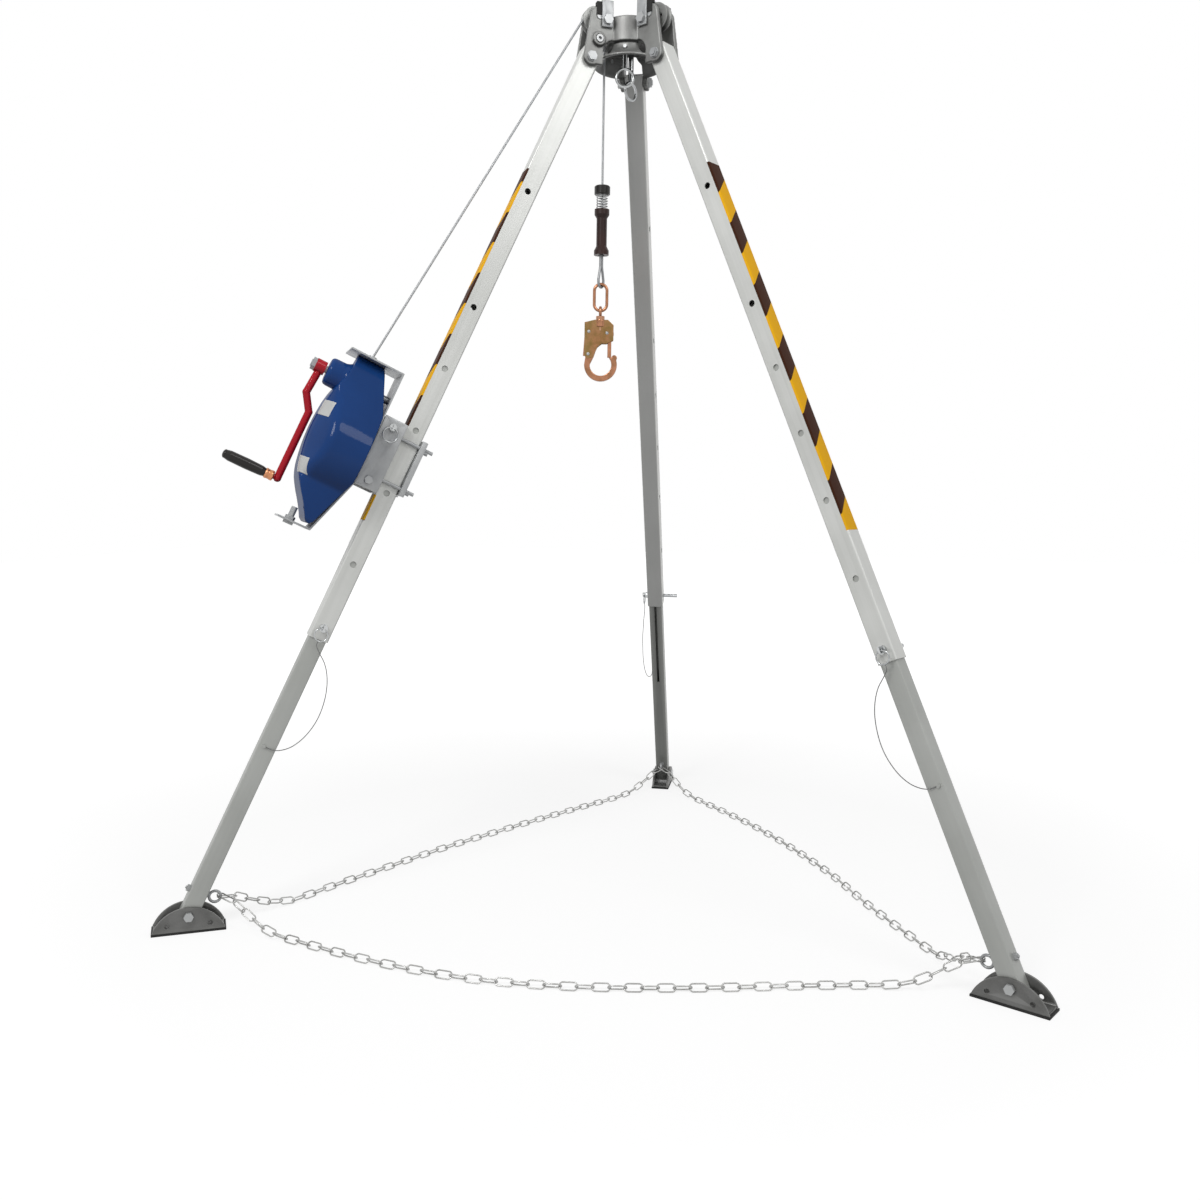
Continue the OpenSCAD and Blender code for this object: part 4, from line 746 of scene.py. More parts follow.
# %% The housing and its boss
SLICES, SLICE_CROWDING, FIRST_SLICE = 84, 1.25, 0.0006
END_ROUND, END_TURN = 0.006, 0.94
span = HOUSING_END - HOUSING_TOP - FIRST_SLICE
rings = []
for k in range(SLICES + 1):
    s = HOUSING_TOP + FIRST_SLICE + span * (k / SLICES) ** SLICE_CROWDING
    near_end = max(0.0, 1 - (HOUSING_END - s) / END_ROUND)
    rings.append(housing_slice(s, END_ROUND * (1 - math.sqrt(1 - min(near_end, END_TURN) ** 2))))
count = len(rings[0])
shell_faces = [tuple(reversed(range(count))), tuple(range(SLICES * count, (SLICES + 1) * count))]
for i in range(SLICES):
    for k in range(count):
        n = (k + 1) % count
        shell_faces.append((i * count + k, i * count + n, (i + 1) * count + n, (i + 1) * count + k))
housing = mesh_object("winch_cover", [p for ring in rings for p in ring], shell_faces)


def lathe(name, profile, centre, sides=40):
    """A turned piece: (place along the outward axis, radius) pairs, closed at both ends."""
    verts, faces = [], []
    for n, r in profile:
        for k in range(sides):
            a = 2 * math.pi * k / sides
            verts.append(Vector((n, r * math.cos(a), r * math.sin(a) - centre)))
    for i in range(len(profile) - 1):
        for k in range(sides):
            m = (k + 1) % sides
            faces.append((i * sides + k, i * sides + m, (i + 1) * sides + m, (i + 1) * sides + k))
    faces.append(tuple(reversed(range(sides))))
    faces.append(tuple(range((len(profile) - 1) * sides, len(profile) * sides)))
    return mesh_object(name, verts, faces)


CRANK_S = 0.892
BOSS_PROFILE = ((0.166, 0.038), (0.178, 0.037), (0.184, 0.0335), (0.190, 0.0315), (0.212, 0.031),
                (0.217, 0.0298), (0.2200, 0.0270), (0.2208, 0.0230), (0.2208, 0.010))
boss = lathe("crank_boss", BOSS_PROFILE, CRANK_S)
merge(housing, boss)
housing.data.transform(leg_matrix("left"))
housing.data.set_sharp_from_angle(angle=CREASE)
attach(housing, "upper_left")
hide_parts("winch_housing")
print("housing", len(housing.data.polygons), "faces")

# %% [markdown]
# ## Bare plates on the housing
#
# Two thin white plates are stuck on the slope of the crank face. They carry no words here. Each is
# a small grid that is dropped on to the housing with a ray test, so it follows the surface under
# it. A Shrinkwrap modifier would do the same, but a ray along one direction keeps the plate's
# outline square.

# %% Two plates that follow the housing
PLATE_T, PLATE_LIFT = 0.0008, 0.0006
PLATE_W, PLATE_L, PLATE_STEPS = 0.048, 0.034, 24
PLATE_PLACES = ((0.058, 0.972), (0.060, 1.100))
RAY_START = 0.05
skin_tree = BVHTree.FromPolygons([v.co for v in housing.data.vertices],
                                 [tuple(p.vertices) for p in housing.data.polygons])
slope_normal = Vector((FACE_R - CREST_HALF, CREST_DROP)).normalized()
outward, sideways, down = leg_axes("left")
normal = slope_normal.x * outward + slope_normal.y * sideways
across = slope_normal.x * sideways - slope_normal.y * outward
labels = []
for index, (t0, s0) in enumerate(PLATE_PLACES):
    grid, faces = [], []
    for i in range(PLATE_STEPS + 1):
        for k in range(PLATE_STEPS + 1):
            p = leg_point("left", slope_face(t0), t0, s0)
            p = p + PLATE_W * (k / PLATE_STEPS - 0.5) * across + PLATE_L * (i / PLATE_STEPS - 0.5) * down
            hit = skin_tree.ray_cast(p + RAY_START * normal, -normal)[0]
            grid.append(hit + PLATE_LIFT * normal)
    for i in range(PLATE_STEPS):
        for k in range(PLATE_STEPS):
            a = i * (PLATE_STEPS + 1) + k
            faces.append((a, a + PLATE_STEPS + 1, a + PLATE_STEPS + 2, a + 1))
    label = mesh_object(f"bare_plate_{index}", grid, faces)
    thick = label.modifiers.new("thick", "SOLIDIFY")
    thick.thickness = PLATE_T
    thick.offset = -1
    apply_modifiers(label)
    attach(label, "upper_left")
    labels.append(label)
print(len(labels), "bare plates")

# %% [markdown]
# ## Warning tape
#
# A strip of yellow and black tape covers the outward face of each upper tube and its two rounded
# corners. It could be painted by the tube's material, but as a thin sheet of its own it has a real
# edge, and its stripes can use its own texture coordinates. On the winch leg the tape stops at the
# bracket and starts again below it.

# %% Tape round the corners of the tube
UPPER_W, UPPER_CORNER = 0.0445, 0.004
TAPE_TOP, TAPE_END, TAPE_T = 0.290, 1.150, 0.00015
BRACKET_TOP, BRACKET_END = 0.923, 1.089
TURN_STEPS = 6
TAPE_SPANS = {
    "back": [(TAPE_TOP, TAPE_END)],
    "right": [(TAPE_TOP, TAPE_END)],
    "left": [(TAPE_TOP, BRACKET_TOP), (BRACKET_END, TAPE_END)],
}
flat_half = UPPER_W / 2 - UPPER_CORNER
tape_line = []
for k in range(TURN_STEPS + 1):
    a = math.radians(-90 + 90 / TURN_STEPS * k)
    tape_line.append((flat_half + (UPPER_CORNER + TAPE_T) * math.cos(a),
                      -flat_half + (UPPER_CORNER + TAPE_T) * math.sin(a)))
tape_line += [(n, -t) for n, t in reversed(tape_line)]
tapes = []
for leg, spans in TAPE_SPANS.items():
    for index, (s0, s1) in enumerate(spans):
        verts = [leg_point(leg, n, t, s) for s in (s0, s1) for n, t in tape_line]
        count = len(tape_line)
        faces = [(k, count + k, count + k + 1, k + 1) for k in range(count - 1)]
        tape = mesh_object(f"tape_{leg}_{index}", verts, faces)
        layer = tape.data.uv_layers.new(name="along")
        for poly in tape.data.polygons:
            for loop, vertex in zip(poly.loop_indices, poly.vertices):
                t = tape_line[vertex % count][1]
                layer.data[loop].uv = (t + UPPER_W / 2, (s0 if vertex < count else s1) - TAPE_TOP)
        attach(tape, f"upper_{leg}")
        tapes.append(tape)
print(len(tapes), "strips of tape")

# %% [markdown]
# ## Rubber under the keepers
#
# A keeper strap crosses each pair of ears, over the sheave. Black rubber fills the gap between
# strap and ear, and shows at its outer edge. Each pad is an angle: a leg down the ear's side and a
# foot on the ear's top. Two boxes could be joined for it, but one outline of six corners, drawn out
# and bevelled, leaves no seam.

# %% Angle pads on the ears
EAR_INNER = UPPER_W / 2 + 0.001
EAR_T, EAR_TOP = 0.010, 0.1095
EAR_OUTER = EAR_INNER + EAR_T
PAD_IN, PAD_OUT = EAR_OUTER + 0.0001, EAR_OUTER + 0.0029
PAD_LOW, PAD_TOP = 0.090, 0.1182
PAD_NEAR, PAD_FAR, PAD_EDGE = 0.0560, 0.0905, 0.0008
pads = []
for leg in BEARING:
    turn = Matrix.Translation((0, 0, HINGE_Z)) @ Matrix.Rotation(math.radians(BEARING[leg]), 4, "Z")
    for side in (-1, 1):
        section = ((PAD_IN, PAD_LOW), (PAD_OUT, PAD_LOW), (PAD_OUT, PAD_TOP),
                   (EAR_INNER, PAD_TOP), (EAR_INNER, EAR_TOP), (PAD_IN, EAR_TOP))
        verts = [(r, side * t, z) for r in (PAD_NEAR, PAD_FAR) for t, z in section]
        faces = [(k, (k + 1) % 6, 6 + (k + 1) % 6, 6 + k) for k in range(6)]
        faces += [tuple(range(6)), tuple(range(11, 5, -1))]
        pad = mesh_object(f"keeper_pad_{leg}_{side + 2}", verts, faces, smooth=False)
        soften = pad.modifiers.new("edge", "BEVEL")
        soften.width = PAD_EDGE
        soften.segments = 2
        merge(pad)
        apply_modifiers(pad)
        pad.data.transform(turn)
        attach(pad, "head")
        pads.append(pad)
print(len(pads), "rubber pads")

# %% [markdown]
# ## Crank handle trim
#
# A copper ferrule covers the collar between the crank and its grip, and a domed cap closes the
# grip's far end. Both are turned pieces, so a profile spun round the spindle gives them. A Screw
# modifier spins a profile too, but the lathe tool made the crank's boss, and it closes the ends by
# itself.

# %% Ferrule and cap
ARM_END_S = 1.146
GRIP_END = 0.3340
FERRULE_PROFILE = ((0.2272, 0.0102), (0.2280, 0.0112), (0.2330, 0.0114), (0.2345, 0.0106),
                   (0.2400, 0.0106), (0.2415, 0.0114), (0.2450, 0.0112), (0.2458, 0.0100))
CAP_RISE, CAP_R = 0.0055, 0.0098
CAP_ANGLES = (0, 15, 30, 45, 60, 72, 84)
ferrule = lathe("grip_ferrule", FERRULE_PROFILE, ARM_END_S)
cap_profile = [(GRIP_END - 0.0015, 0.0093)]
for angle in CAP_ANGLES:
    a = math.radians(angle)
    cap_profile.append((GRIP_END - 0.0005 + CAP_RISE * math.sin(a), CAP_R * math.cos(a)))
cap = lathe("grip_cap", cap_profile, ARM_END_S)
for obj, body in ((ferrule, "crank"), (cap, "handle")):
    obj.data.transform(leg_matrix("left"))
    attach(obj, body)
print("ferrule and cap made")

# %% [markdown]
# ## Cheek plates on the hook
#
# The upper half of the hook has a thin plate riveted to each side, which hides the swivel's seat
# and the springs. They could be raised from the hook's own mesh, but its smooth skin would melt an
# edge this thin. So each plate is an outline that is filled, thickened and bevelled, and the rivets
# are small turned domes.

# %% Plates and rivets
HOOK_T, HOOK_TURN, HOOK_TOP = 0.014, math.radians(10), 1.343157
CHEEK = ((-0.036, -0.006), (-0.012, 0.0), (0.018, 0.0), (0.031, -0.012), (0.031, -0.046),
         (0.015, -0.054), (0.004, -0.054), (-0.006, -0.062), (-0.016, -0.086), (-0.030, -0.088),
         (-0.036, -0.080))
RIVETS = ((-0.026, -0.027), (0.016, -0.030), (-0.027, -0.078))
CHEEK_T, CHEEK_GAP, CHEEK_EDGE = 0.0012, 0.0001, 0.0004
RIVET_RISE, RIVET_R, RIVET_SIDES = 0.0014, 0.0038, 20
RIVET_PROFILE = [(RIVET_RISE * math.sin(math.radians(a)), RIVET_R * math.cos(math.radians(a)))
                 for a in (-20, 0, 20, 40, 60, 80)]
line_place = left_plane(LINE_HANG_R, 0)
hook_place = Matrix.Translation((line_place.x, line_place.y, HOOK_TOP))
hook_place = hook_place @ Matrix.Rotation(HOOK_TURN, 4, "Z")
cheeks, rivets = [], []
for side in (-1, 1):
    inner, outer = side * (HOOK_T / 2 + CHEEK_GAP), side * (HOOK_T / 2 + CHEEK_GAP + CHEEK_T)
    count = len(CHEEK)
    verts = [(x, y, z) for y in (inner, outer) for x, z in CHEEK]
    faces = [(k, (k + 1) % count, count + (k + 1) % count, count + k) for k in range(count)]
    faces += [tuple(range(count)), tuple(range(2 * count - 1, count - 1, -1))]
    cheek = mesh_object(f"hook_cheek_{side + 2}", verts, faces, smooth=False)
    merge(cheek)
    edge = cheek.modifiers.new("edge", "BEVEL")
    edge.width = CHEEK_EDGE
    edge.segments = 2
    apply_modifiers(cheek)
    heads = []
    for x, z in RIVETS:
        dome = lathe("rivet", RIVET_PROFILE, 0, RIVET_SIDES)
        aside = Matrix.Rotation(side * math.pi / 2, 4, "Z")
        dome.data.transform(Matrix.Translation((x, outer, z)) @ aside)
        heads.append(dome)
    merge(heads[0], *heads[1:])
    heads[0].name = f"hook_rivets_{side + 2}"
    for obj in (cheek, heads[0]):
        obj.data.transform(hook_place)
        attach(obj, "hook")
    cheeks.append(cheek)
    rivets.append(heads[0])
print("cheek plates with", len(RIVETS), "rivets each")

# %% [markdown]
# ## Shared effects
#
# Real metal and plastic are never one flat colour. They have cloudy patches, fine grain, and edges
# rubbed bright. Many finishes need the same effects, so each effect is a node group that is built
# once, with named inputs. A group puts out colours, values and normals only. The shader itself
# stays in each material.

# %% Helpers for node groups
def node_group(name, inputs, outputs):
    group = bpy.data.node_groups.new(name, "ShaderNodeTree")
    for label, kind, default in inputs:
        socket = group.interface.new_socket(name=label, in_out="INPUT", socket_type=kind)
        socket.default_value = default
    for label, kind in outputs:
        group.interface.new_socket(name=label, in_out="OUTPUT", socket_type=kind)
    return group, group.nodes.new("NodeGroupInput"), group.nodes.new("NodeGroupOutput")


def math_node(tree, operation, a, b=None):
    node = tree.nodes.new("ShaderNodeMath")
    node.operation = operation
    for socket, value in zip(node.inputs, (a, b)):
        if value is None:
            continue
        if isinstance(value, (int, float)):
            socket.default_value = value
        else:
            tree.links.new(value, socket)
    return node.outputs[0]


def ramp(tree, value, low, high):
    node = tree.nodes.new("ShaderNodeMapRange")
    node.inputs["From Min"].default_value = low
    node.inputs["From Max"].default_value = high
    tree.links.new(value, node.inputs["Value"])
    return node.outputs["Result"]


def mix_colors(tree, factor, first, second):
    node = tree.nodes.new("ShaderNodeMix")
    node.data_type = "RGBA"
    sockets = (node.inputs["Factor"], node.inputs[6], node.inputs[7])
    for socket, value in zip(sockets, (factor, first, second)):
        tree.links.new(value, socket)
    return node.outputs[2]


# %% [markdown]
# ### Surface wear and painted shade
#
# Two noises share one place. The broad one drifts between two colours, as plating and old paint do.
# The fine one makes the grain, and Stretch draws it out into the long lines of an extruded tube.
# Turn lays those lines along a leg. Pointiness finds the edges of a fine mesh, and Edge says how
# bright they are rubbed. A face that looks down is darkened in colour: that is painted shade, which
# stands in for the light such a face misses, and the last input says how dark it is painted.

# %% The group for surface wear and painted shade
wear_and_shade, wear_and_shade_in, wear_and_shade_out = node_group(
    "wear_and_painted_shade",
    [("Color", "NodeSocketColor", (0.5, 0.5, 0.5, 1)), ("Second", "NodeSocketColor", (0.4, 0.4, 0.4, 1)),
     ("Rubbed", "NodeSocketColor", (0.7, 0.7, 0.7, 1)), ("Roughness", "NodeSocketFloat", 0.4),
     ("Patch Scale", "NodeSocketFloat", 8.0), ("Scale", "NodeSocketFloat", 60.0),
     ("Grain", "NodeSocketFloat", 0.1), ("Bump", "NodeSocketFloat", 0.1),
     ("Edge", "NodeSocketFloat", 0.3), ("Stretch", "NodeSocketVector", (1, 1, 1)),
     ("Turn", "NodeSocketVector", (0, 0, 0)), ("Under", "NodeSocketFloat", 0.0)],
    [("Color", "NodeSocketColor"), ("Roughness", "NodeSocketFloat"), ("Normal", "NodeSocketVector")],
)
place = wear_and_shade.nodes.new("ShaderNodeTexCoord")
turned = wear_and_shade.nodes.new("ShaderNodeMapping")
turned.vector_type = "TEXTURE"
wear_and_shade.links.new(place.outputs["Object"], turned.inputs["Vector"])
wear_and_shade.links.new(wear_and_shade_in.outputs["Turn"], turned.inputs["Rotation"])
stretched = wear_and_shade.nodes.new("ShaderNodeVectorMath")
stretched.operation = "MULTIPLY"
wear_and_shade.links.new(turned.outputs[0], stretched.inputs[0])
wear_and_shade.links.new(wear_and_shade_in.outputs["Stretch"], stretched.inputs[1])


PATCH_SPAN, PAINTED_SHADE_SPAN, EDGE_SPAN = (0.36, 0.64), (0.15, 0.42), (0.53, 0.62)
FINE_DETAIL, PATCH_DETAIL = 5, 4
GRAIN_DEPTH = 0.0004


def wear_noise(vector, scale, detail):
    noise = wear_and_shade.nodes.new("ShaderNodeTexNoise")
    noise.inputs["Detail"].default_value = detail
    wear_and_shade.links.new(vector, noise.inputs["Vector"])
    wear_and_shade.links.new(scale, noise.inputs["Scale"])
    return noise.outputs[0]


fine = wear_noise(stretched.outputs[0], wear_and_shade_in.outputs["Scale"], FINE_DETAIL)
broad = wear_noise(turned.outputs[0], wear_and_shade_in.outputs["Patch Scale"], PATCH_DETAIL)
patch = ramp(wear_and_shade, broad, *PATCH_SPAN)
clouded = mix_colors(wear_and_shade, patch, wear_and_shade_in.outputs["Color"], wear_and_shade_in.outputs["Second"])
grained_and_shaded = wear_and_shade.nodes.new("ShaderNodeVectorMath")
grained_and_shaded.operation = "SCALE"
wear_and_shade.links.new(clouded, grained_and_shaded.inputs[0])
lines = math_node(wear_and_shade, "MULTIPLY", math_node(wear_and_shade, "SUBTRACT", fine, 0.5), wear_and_shade_in.outputs["Grain"])
facing = wear_and_shade.nodes.new("ShaderNodeSeparateXYZ")
wear_and_shade.links.new(place.outputs["Normal"], facing.inputs[0])
# Painted shade: faces that look down are darkened in colour, in place of the light they miss.
down = ramp(wear_and_shade, math_node(wear_and_shade, "MULTIPLY", facing.outputs[2], -1.0), *PAINTED_SHADE_SPAN)
painted_shade_factor = math_node(wear_and_shade, "SUBTRACT", 1.0, math_node(wear_and_shade, "MULTIPLY", down, wear_and_shade_in.outputs["Under"]))
tone = math_node(wear_and_shade, "MULTIPLY", math_node(wear_and_shade, "ADD", lines, 1.0), painted_shade_factor)
wear_and_shade.links.new(tone, grained_and_shaded.inputs["Scale"])
geometry = wear_and_shade.nodes.new("ShaderNodeNewGeometry")
sharp = ramp(wear_and_shade, geometry.outputs["Pointiness"], *EDGE_SPAN)
edges = math_node(wear_and_shade, "MULTIPLY", sharp, wear_and_shade_in.outputs["Edge"])
worn_and_shaded_color = mix_colors(wear_and_shade, edges, grained_and_shaded.outputs[0], wear_and_shade_in.outputs["Rubbed"])
wear_and_shade.links.new(worn_and_shaded_color, wear_and_shade_out.inputs["Color"])
wear_and_shade.links.new(math_node(wear_and_shade, "ADD", lines, wear_and_shade_in.outputs["Roughness"]), wear_and_shade_out.inputs["Roughness"])
bump = wear_and_shade.nodes.new("ShaderNodeBump")
bump.inputs["Distance"].default_value = GRAIN_DEPTH
wear_and_shade.links.new(wear_and_shade_in.outputs["Bump"], bump.inputs["Strength"])
wear_and_shade.links.new(fine, bump.inputs["Height"])
wear_and_shade.links.new(bump.outputs[0], wear_and_shade_out.inputs["Normal"])
print("wear_and_painted_shade", len(wear_and_shade.nodes), "nodes")

# %% [markdown]
# ### Rope strands
#
# Wire rope is six strands laid round a core. Modelling each strand would cost thousands of faces on
# a line that is 5 mm thick, so the strands are a bump: a wave that runs round the tube and along it
# at once. The same wave darkens the colour towards the grooves between the strands, as painted
# shade.

# %% The rope_strands group
strands, strands_in, strands_out = node_group(
    "rope_strands",
    [("Color", "NodeSocketColor", (0.5, 0.5, 0.5, 1)), ("Turns", "NodeSocketFloat", 60.0)],
    [("Color", "NodeSocketColor"), ("Normal", "NodeSocketVector")],
)
STRANDS, STRAND_DEPTH = 6.0, 0.0006
GROOVE_PAINTED_SHADE, CROWN_GAIN = 0.65, 0.4
rope_uv = strands.nodes.new("ShaderNodeUVMap")
rope_uv.uv_map = "along"
rope_split = strands.nodes.new("ShaderNodeSeparateXYZ")
strands.links.new(rope_uv.outputs[0], rope_split.inputs[0])
lay = math_node(strands, "ADD", math_node(strands, "MULTIPLY", rope_split.outputs[0], STRANDS),
                math_node(strands, "MULTIPLY", rope_split.outputs[1], strands_in.outputs["Turns"]))
wave = math_node(strands, "SINE", math_node(strands, "MULTIPLY", lay, math.pi))
strand = math_node(strands, "ABSOLUTE", wave)
shade = strands.nodes.new("ShaderNodeVectorMath")
shade.operation = "SCALE"
strands.links.new(strands_in.outputs["Color"], shade.inputs[0])
# Painted shade: the colour is darker in the grooves between the strands than on their crowns.
strand_tone = math_node(strands, "ADD", math_node(strands, "MULTIPLY", strand, CROWN_GAIN), GROOVE_PAINTED_SHADE)
strands.links.new(strand_tone, shade.inputs["Scale"])
strands.links.new(shade.outputs[0], strands_out.inputs["Color"])
rope_bump = strands.nodes.new("ShaderNodeBump")
rope_bump.inputs["Distance"].default_value = STRAND_DEPTH
strands.links.new(strand, rope_bump.inputs["Height"])
strands.links.new(rope_bump.outputs[0], strands_out.inputs["Normal"])
print("rope_strands", len(strands.nodes), "nodes")

# %% [markdown]
# ### Tape stripes
#
# The tape's stripes lean across it. A Wave texture draws bands too, but with soft edges. The
# fraction of the length, moved on by a share of the width, tells which stripe a point is in, and a
# very short ramp between the two colours keeps the edge crisp.

# %% The tape_stripes group
stripes, stripes_in, stripes_out = node_group(
    "tape_stripes",
    [("Dark", "NodeSocketColor", (0.02, 0.02, 0.02, 1)),
     ("Light", "NodeSocketColor", (0.9, 0.5, 0.02, 1)),
     ("Pitch", "NodeSocketFloat", 0.150), ("Lean", "NodeSocketFloat", 0.94)],
    [("Color", "NodeSocketColor")],
)
STRIPE_EDGE = (0.496, 0.504)
tape_uv = stripes.nodes.new("ShaderNodeUVMap")
tape_uv.uv_map = "along"
tape_split = stripes.nodes.new("ShaderNodeSeparateXYZ")
stripes.links.new(tape_uv.outputs[0], tape_split.inputs[0])
slide = math_node(stripes, "MULTIPLY", tape_split.outputs[0], stripes_in.outputs["Lean"])
slant = math_node(stripes, "ADD", tape_split.outputs[1], slide)
share = math_node(stripes, "FRACT", math_node(stripes, "DIVIDE", slant, stripes_in.outputs["Pitch"]))
light_share = ramp(stripes, share, *STRIPE_EDGE)
stripe_color = mix_colors(stripes, light_share, stripes_in.outputs["Dark"], stripes_in.outputs["Light"])
stripes.links.new(stripe_color, stripes_out.inputs["Color"])
print("tape_stripes", len(stripes.nodes), "nodes")

# %% [markdown]
# ## Finishes
#
# Each finish is one Principled shader with the group for wear and painted shade in front of it.
# Numbers that are the same all over, such as metalness and coat, are set on the shader. The tubes are
# drawn and anodised, so their grain runs along the leg, and each leg needs its own Turn. The tubes,
# the cast pieces and the gold hook also take painted shade: their faces that look down are darkened
# in colour. The zinc is passivated: a reddish gold on the hook, and a cold grey on the bolts. Each
# finish could be built from single nodes, but one function keeps them all alike.

# %% A finish from the group for wear and painted shade
def place_group(tree, group, values):
    node = tree.nodes.new("ShaderNodeGroup")
    node.node_tree = group
    for label, value in values.items():
        node.inputs[label].default_value = value
    return node


def new_shader(name, metallic):
    material = bpy.data.materials.new(name)
    material.use_nodes = True
    shader = material.node_tree.nodes["Principled BSDF"]
    shader.inputs["Metallic"].default_value = metallic
    return material, material.node_tree, shader


COAT_ROUGHNESS = 0.08


def finish(name, color, second, metallic, roughness, rubbed=None, coat=0.0, specular=0.5, **values):
    material, tree, shader = new_shader(name, metallic)
    shader.inputs["Coat Weight"].default_value = coat
    shader.inputs["Coat Roughness"].default_value = COAT_ROUGHNESS
    shader.inputs["Specular IOR Level"].default_value = specular
    lighter = rubbed or tuple(min(1.0, 1.5 * c + 0.03) for c in color)
    group = place_group(tree, wear_and_shade, {
        "Color": (*color, 1), "Second": (*second, 1), "Rubbed": (*lighter, 1),
        "Roughness": roughness, **values})
    for label, socket in (("Color", "Base Color"), ("Roughness", "Roughness"), ("Normal", "Normal")):
        tree.links.new(group.outputs[label], shader.inputs[socket])
    return material


# %% Tubes, one finish per leg
DRAWN = {"Stretch": (1, 1, 0.03), "Scale": 150.0, "Grain": 0.16, "Bump": 0.04, "Patch Scale": 5.0,
         "Edge": 0.2}
# Painted shade: both tube finishes darken the faces of each leg that look down.
bright, grey = {}, {}
for leg in BEARING:
    turn = tuple(leg_matrix(leg).to_euler())
    bright[leg] = finish(f"bright_tube_{leg}", (0.70, 0.71, 0.68), (0.60, 0.61, 0.58), 0.30, 0.38,
                         Turn=turn, Under=0.62, **DRAWN)
    grey[leg] = finish(f"grey_tube_{leg}", (0.44, 0.45, 0.43), (0.36, 0.37, 0.35), 0.30, 0.42,
                       Turn=turn, Under=0.56, **DRAWN)
print(len(bright) + len(grey), "tube finishes")

# %% Cast, plated and painted finishes
SAND = {"Scale": 420.0, "Grain": 0.35, "Bump": 0.45, "Patch Scale": 22.0, "Edge": 0.55}
PLATED = {"Scale": 160.0, "Grain": 0.2, "Bump": 0.06, "Patch Scale": 18.0, "Edge": 0.35}
PAINTED = {"Scale": 260.0, "Grain": 0.05, "Bump": 0.05, "Patch Scale": 7.0, "Edge": 0.12}
MOULDED = {"Scale": 380.0, "Grain": 0.15, "Bump": 0.12, "Patch Scale": 20.0, "Edge": 0.15}

# Painted shade: the cast finish darkens faces that look down, such as the underside of the head's skirt.
cast = finish("cast_alloy", (0.27, 0.275, 0.265), (0.20, 0.20, 0.195), 0.45, 0.42, Under=0.75, **SAND)
dark_cast = finish("dark_cast", (0.17, 0.17, 0.165), (0.12, 0.12, 0.115), 0.45, 0.40, **SAND)
zinc = finish("zinc_steel", (0.46, 0.47, 0.47), (0.36, 0.37, 0.38), 0.30, 0.36, **PLATED)
polished = finish("polished_steel", (0.46, 0.47, 0.47), (0.34, 0.35, 0.36), 1.0, 0.16, **PLATED)
chain_zinc = finish("chain_steel", (0.46, 0.46, 0.45), (0.34, 0.34, 0.33), 0.80, 0.30, **PLATED)
HAZY = {**PLATED, "Patch Scale": 55.0, "Grain": 0.3}
# Painted shade: the gold finish darkens the faces of the hook that look down.
gold = finish("gold_zinc", (0.50, 0.23, 0.13), (0.34, 0.16, 0.08), 0.80, 0.22,
              rubbed=(0.80, 0.56, 0.40), Under=0.35, **HAZY)
olive = finish("olive_zinc", (0.22, 0.13, 0.030), (0.38, 0.18, 0.08), 0.70, 0.22,
               rubbed=(0.75, 0.55, 0.28), **HAZY)
copper = finish("copper_ferrule", (0.60, 0.26, 0.13), (0.48, 0.22, 0.11), 0.90, 0.26, **PLATED)
dark = finish("dark_steel", (0.20, 0.20, 0.21), (0.14, 0.14, 0.14), 0.90, 0.42, **PLATED)
blue = finish("blue_paint", (0.010, 0.060, 0.245), (0.008, 0.050, 0.205), 0.0, 0.40,
              coat=0.28, specular=0.0, **PAINTED)
red = finish("red_paint", (0.52, 0.012, 0.026), (0.43, 0.010, 0.021), 0.0, 0.40,
             coat=0.28, specular=0.0, **PAINTED)
plate_white = finish("plate_white", (0.66, 0.67, 0.66), (0.58, 0.59, 0.58), 0.0, 0.40, **PAINTED)
black = finish("black_plastic", (0.014, 0.012, 0.011), (0.020, 0.017, 0.015), 0.0, 0.24,
               specular=0.3, **MOULDED)
brown = finish("brown_grip", (0.040, 0.016, 0.013), (0.026, 0.012, 0.010), 0.0, 0.34,
               specular=0.25, **MOULDED)
rubber = finish("black_rubber", (0.020, 0.020, 0.020), (0.030, 0.029, 0.028), 0.0, 0.75,
                specular=0.3, **MOULDED)
print("cast, plated, painted and moulded finishes made")

# %% Rope and tape finishes
ROPE_METALLIC, ROPE_ROUGHNESS = 0.8, 0.45
TAPE_SPECULAR = 0.05
TAPE_WEAR = {"Roughness": 0.5, "Scale": 200.0, "Grain": 0.14, "Bump": 0.1, "Edge": 0.0}


def rope_finish(name, color, turns):
    material, tree, shader = new_shader(name, ROPE_METALLIC)
    shader.inputs["Roughness"].default_value = ROPE_ROUGHNESS
    group = place_group(tree, strands, {"Color": (*color, 1), "Turns": turns})
    tree.links.new(group.outputs["Color"], shader.inputs["Base Color"])
    tree.links.new(group.outputs["Normal"], shader.inputs["Normal"])
    return material


def tape_finish(name, dark_color, light_color):
    material, tree, shader = new_shader(name, 0.0)
    shader.inputs["Specular IOR Level"].default_value = TAPE_SPECULAR
    lines = place_group(tree, stripes, {"Dark": (*dark_color, 1), "Light": (*light_color, 1)})
    worn = place_group(tree, wear_and_shade, TAPE_WEAR)
    tree.links.new(lines.outputs["Color"], worn.inputs["Color"])
    tree.links.new(lines.outputs["Color"], worn.inputs["Second"])
    for label, socket in (("Color", "Base Color"), ("Roughness", "Roughness"), ("Normal", "Normal")):
        tree.links.new(worn.outputs[label], shader.inputs[socket])
    return material


rope = rope_finish("wire_rope", (0.42, 0.43, 0.44), 190)
wire = rope_finish("lanyard_wire", (0.26, 0.26, 0.26), 460)
warning_tape = tape_finish("warning_tape", (0.055, 0.018, 0.008), (1.0, 0.52, 0.014))
print("rope and tape finishes made")

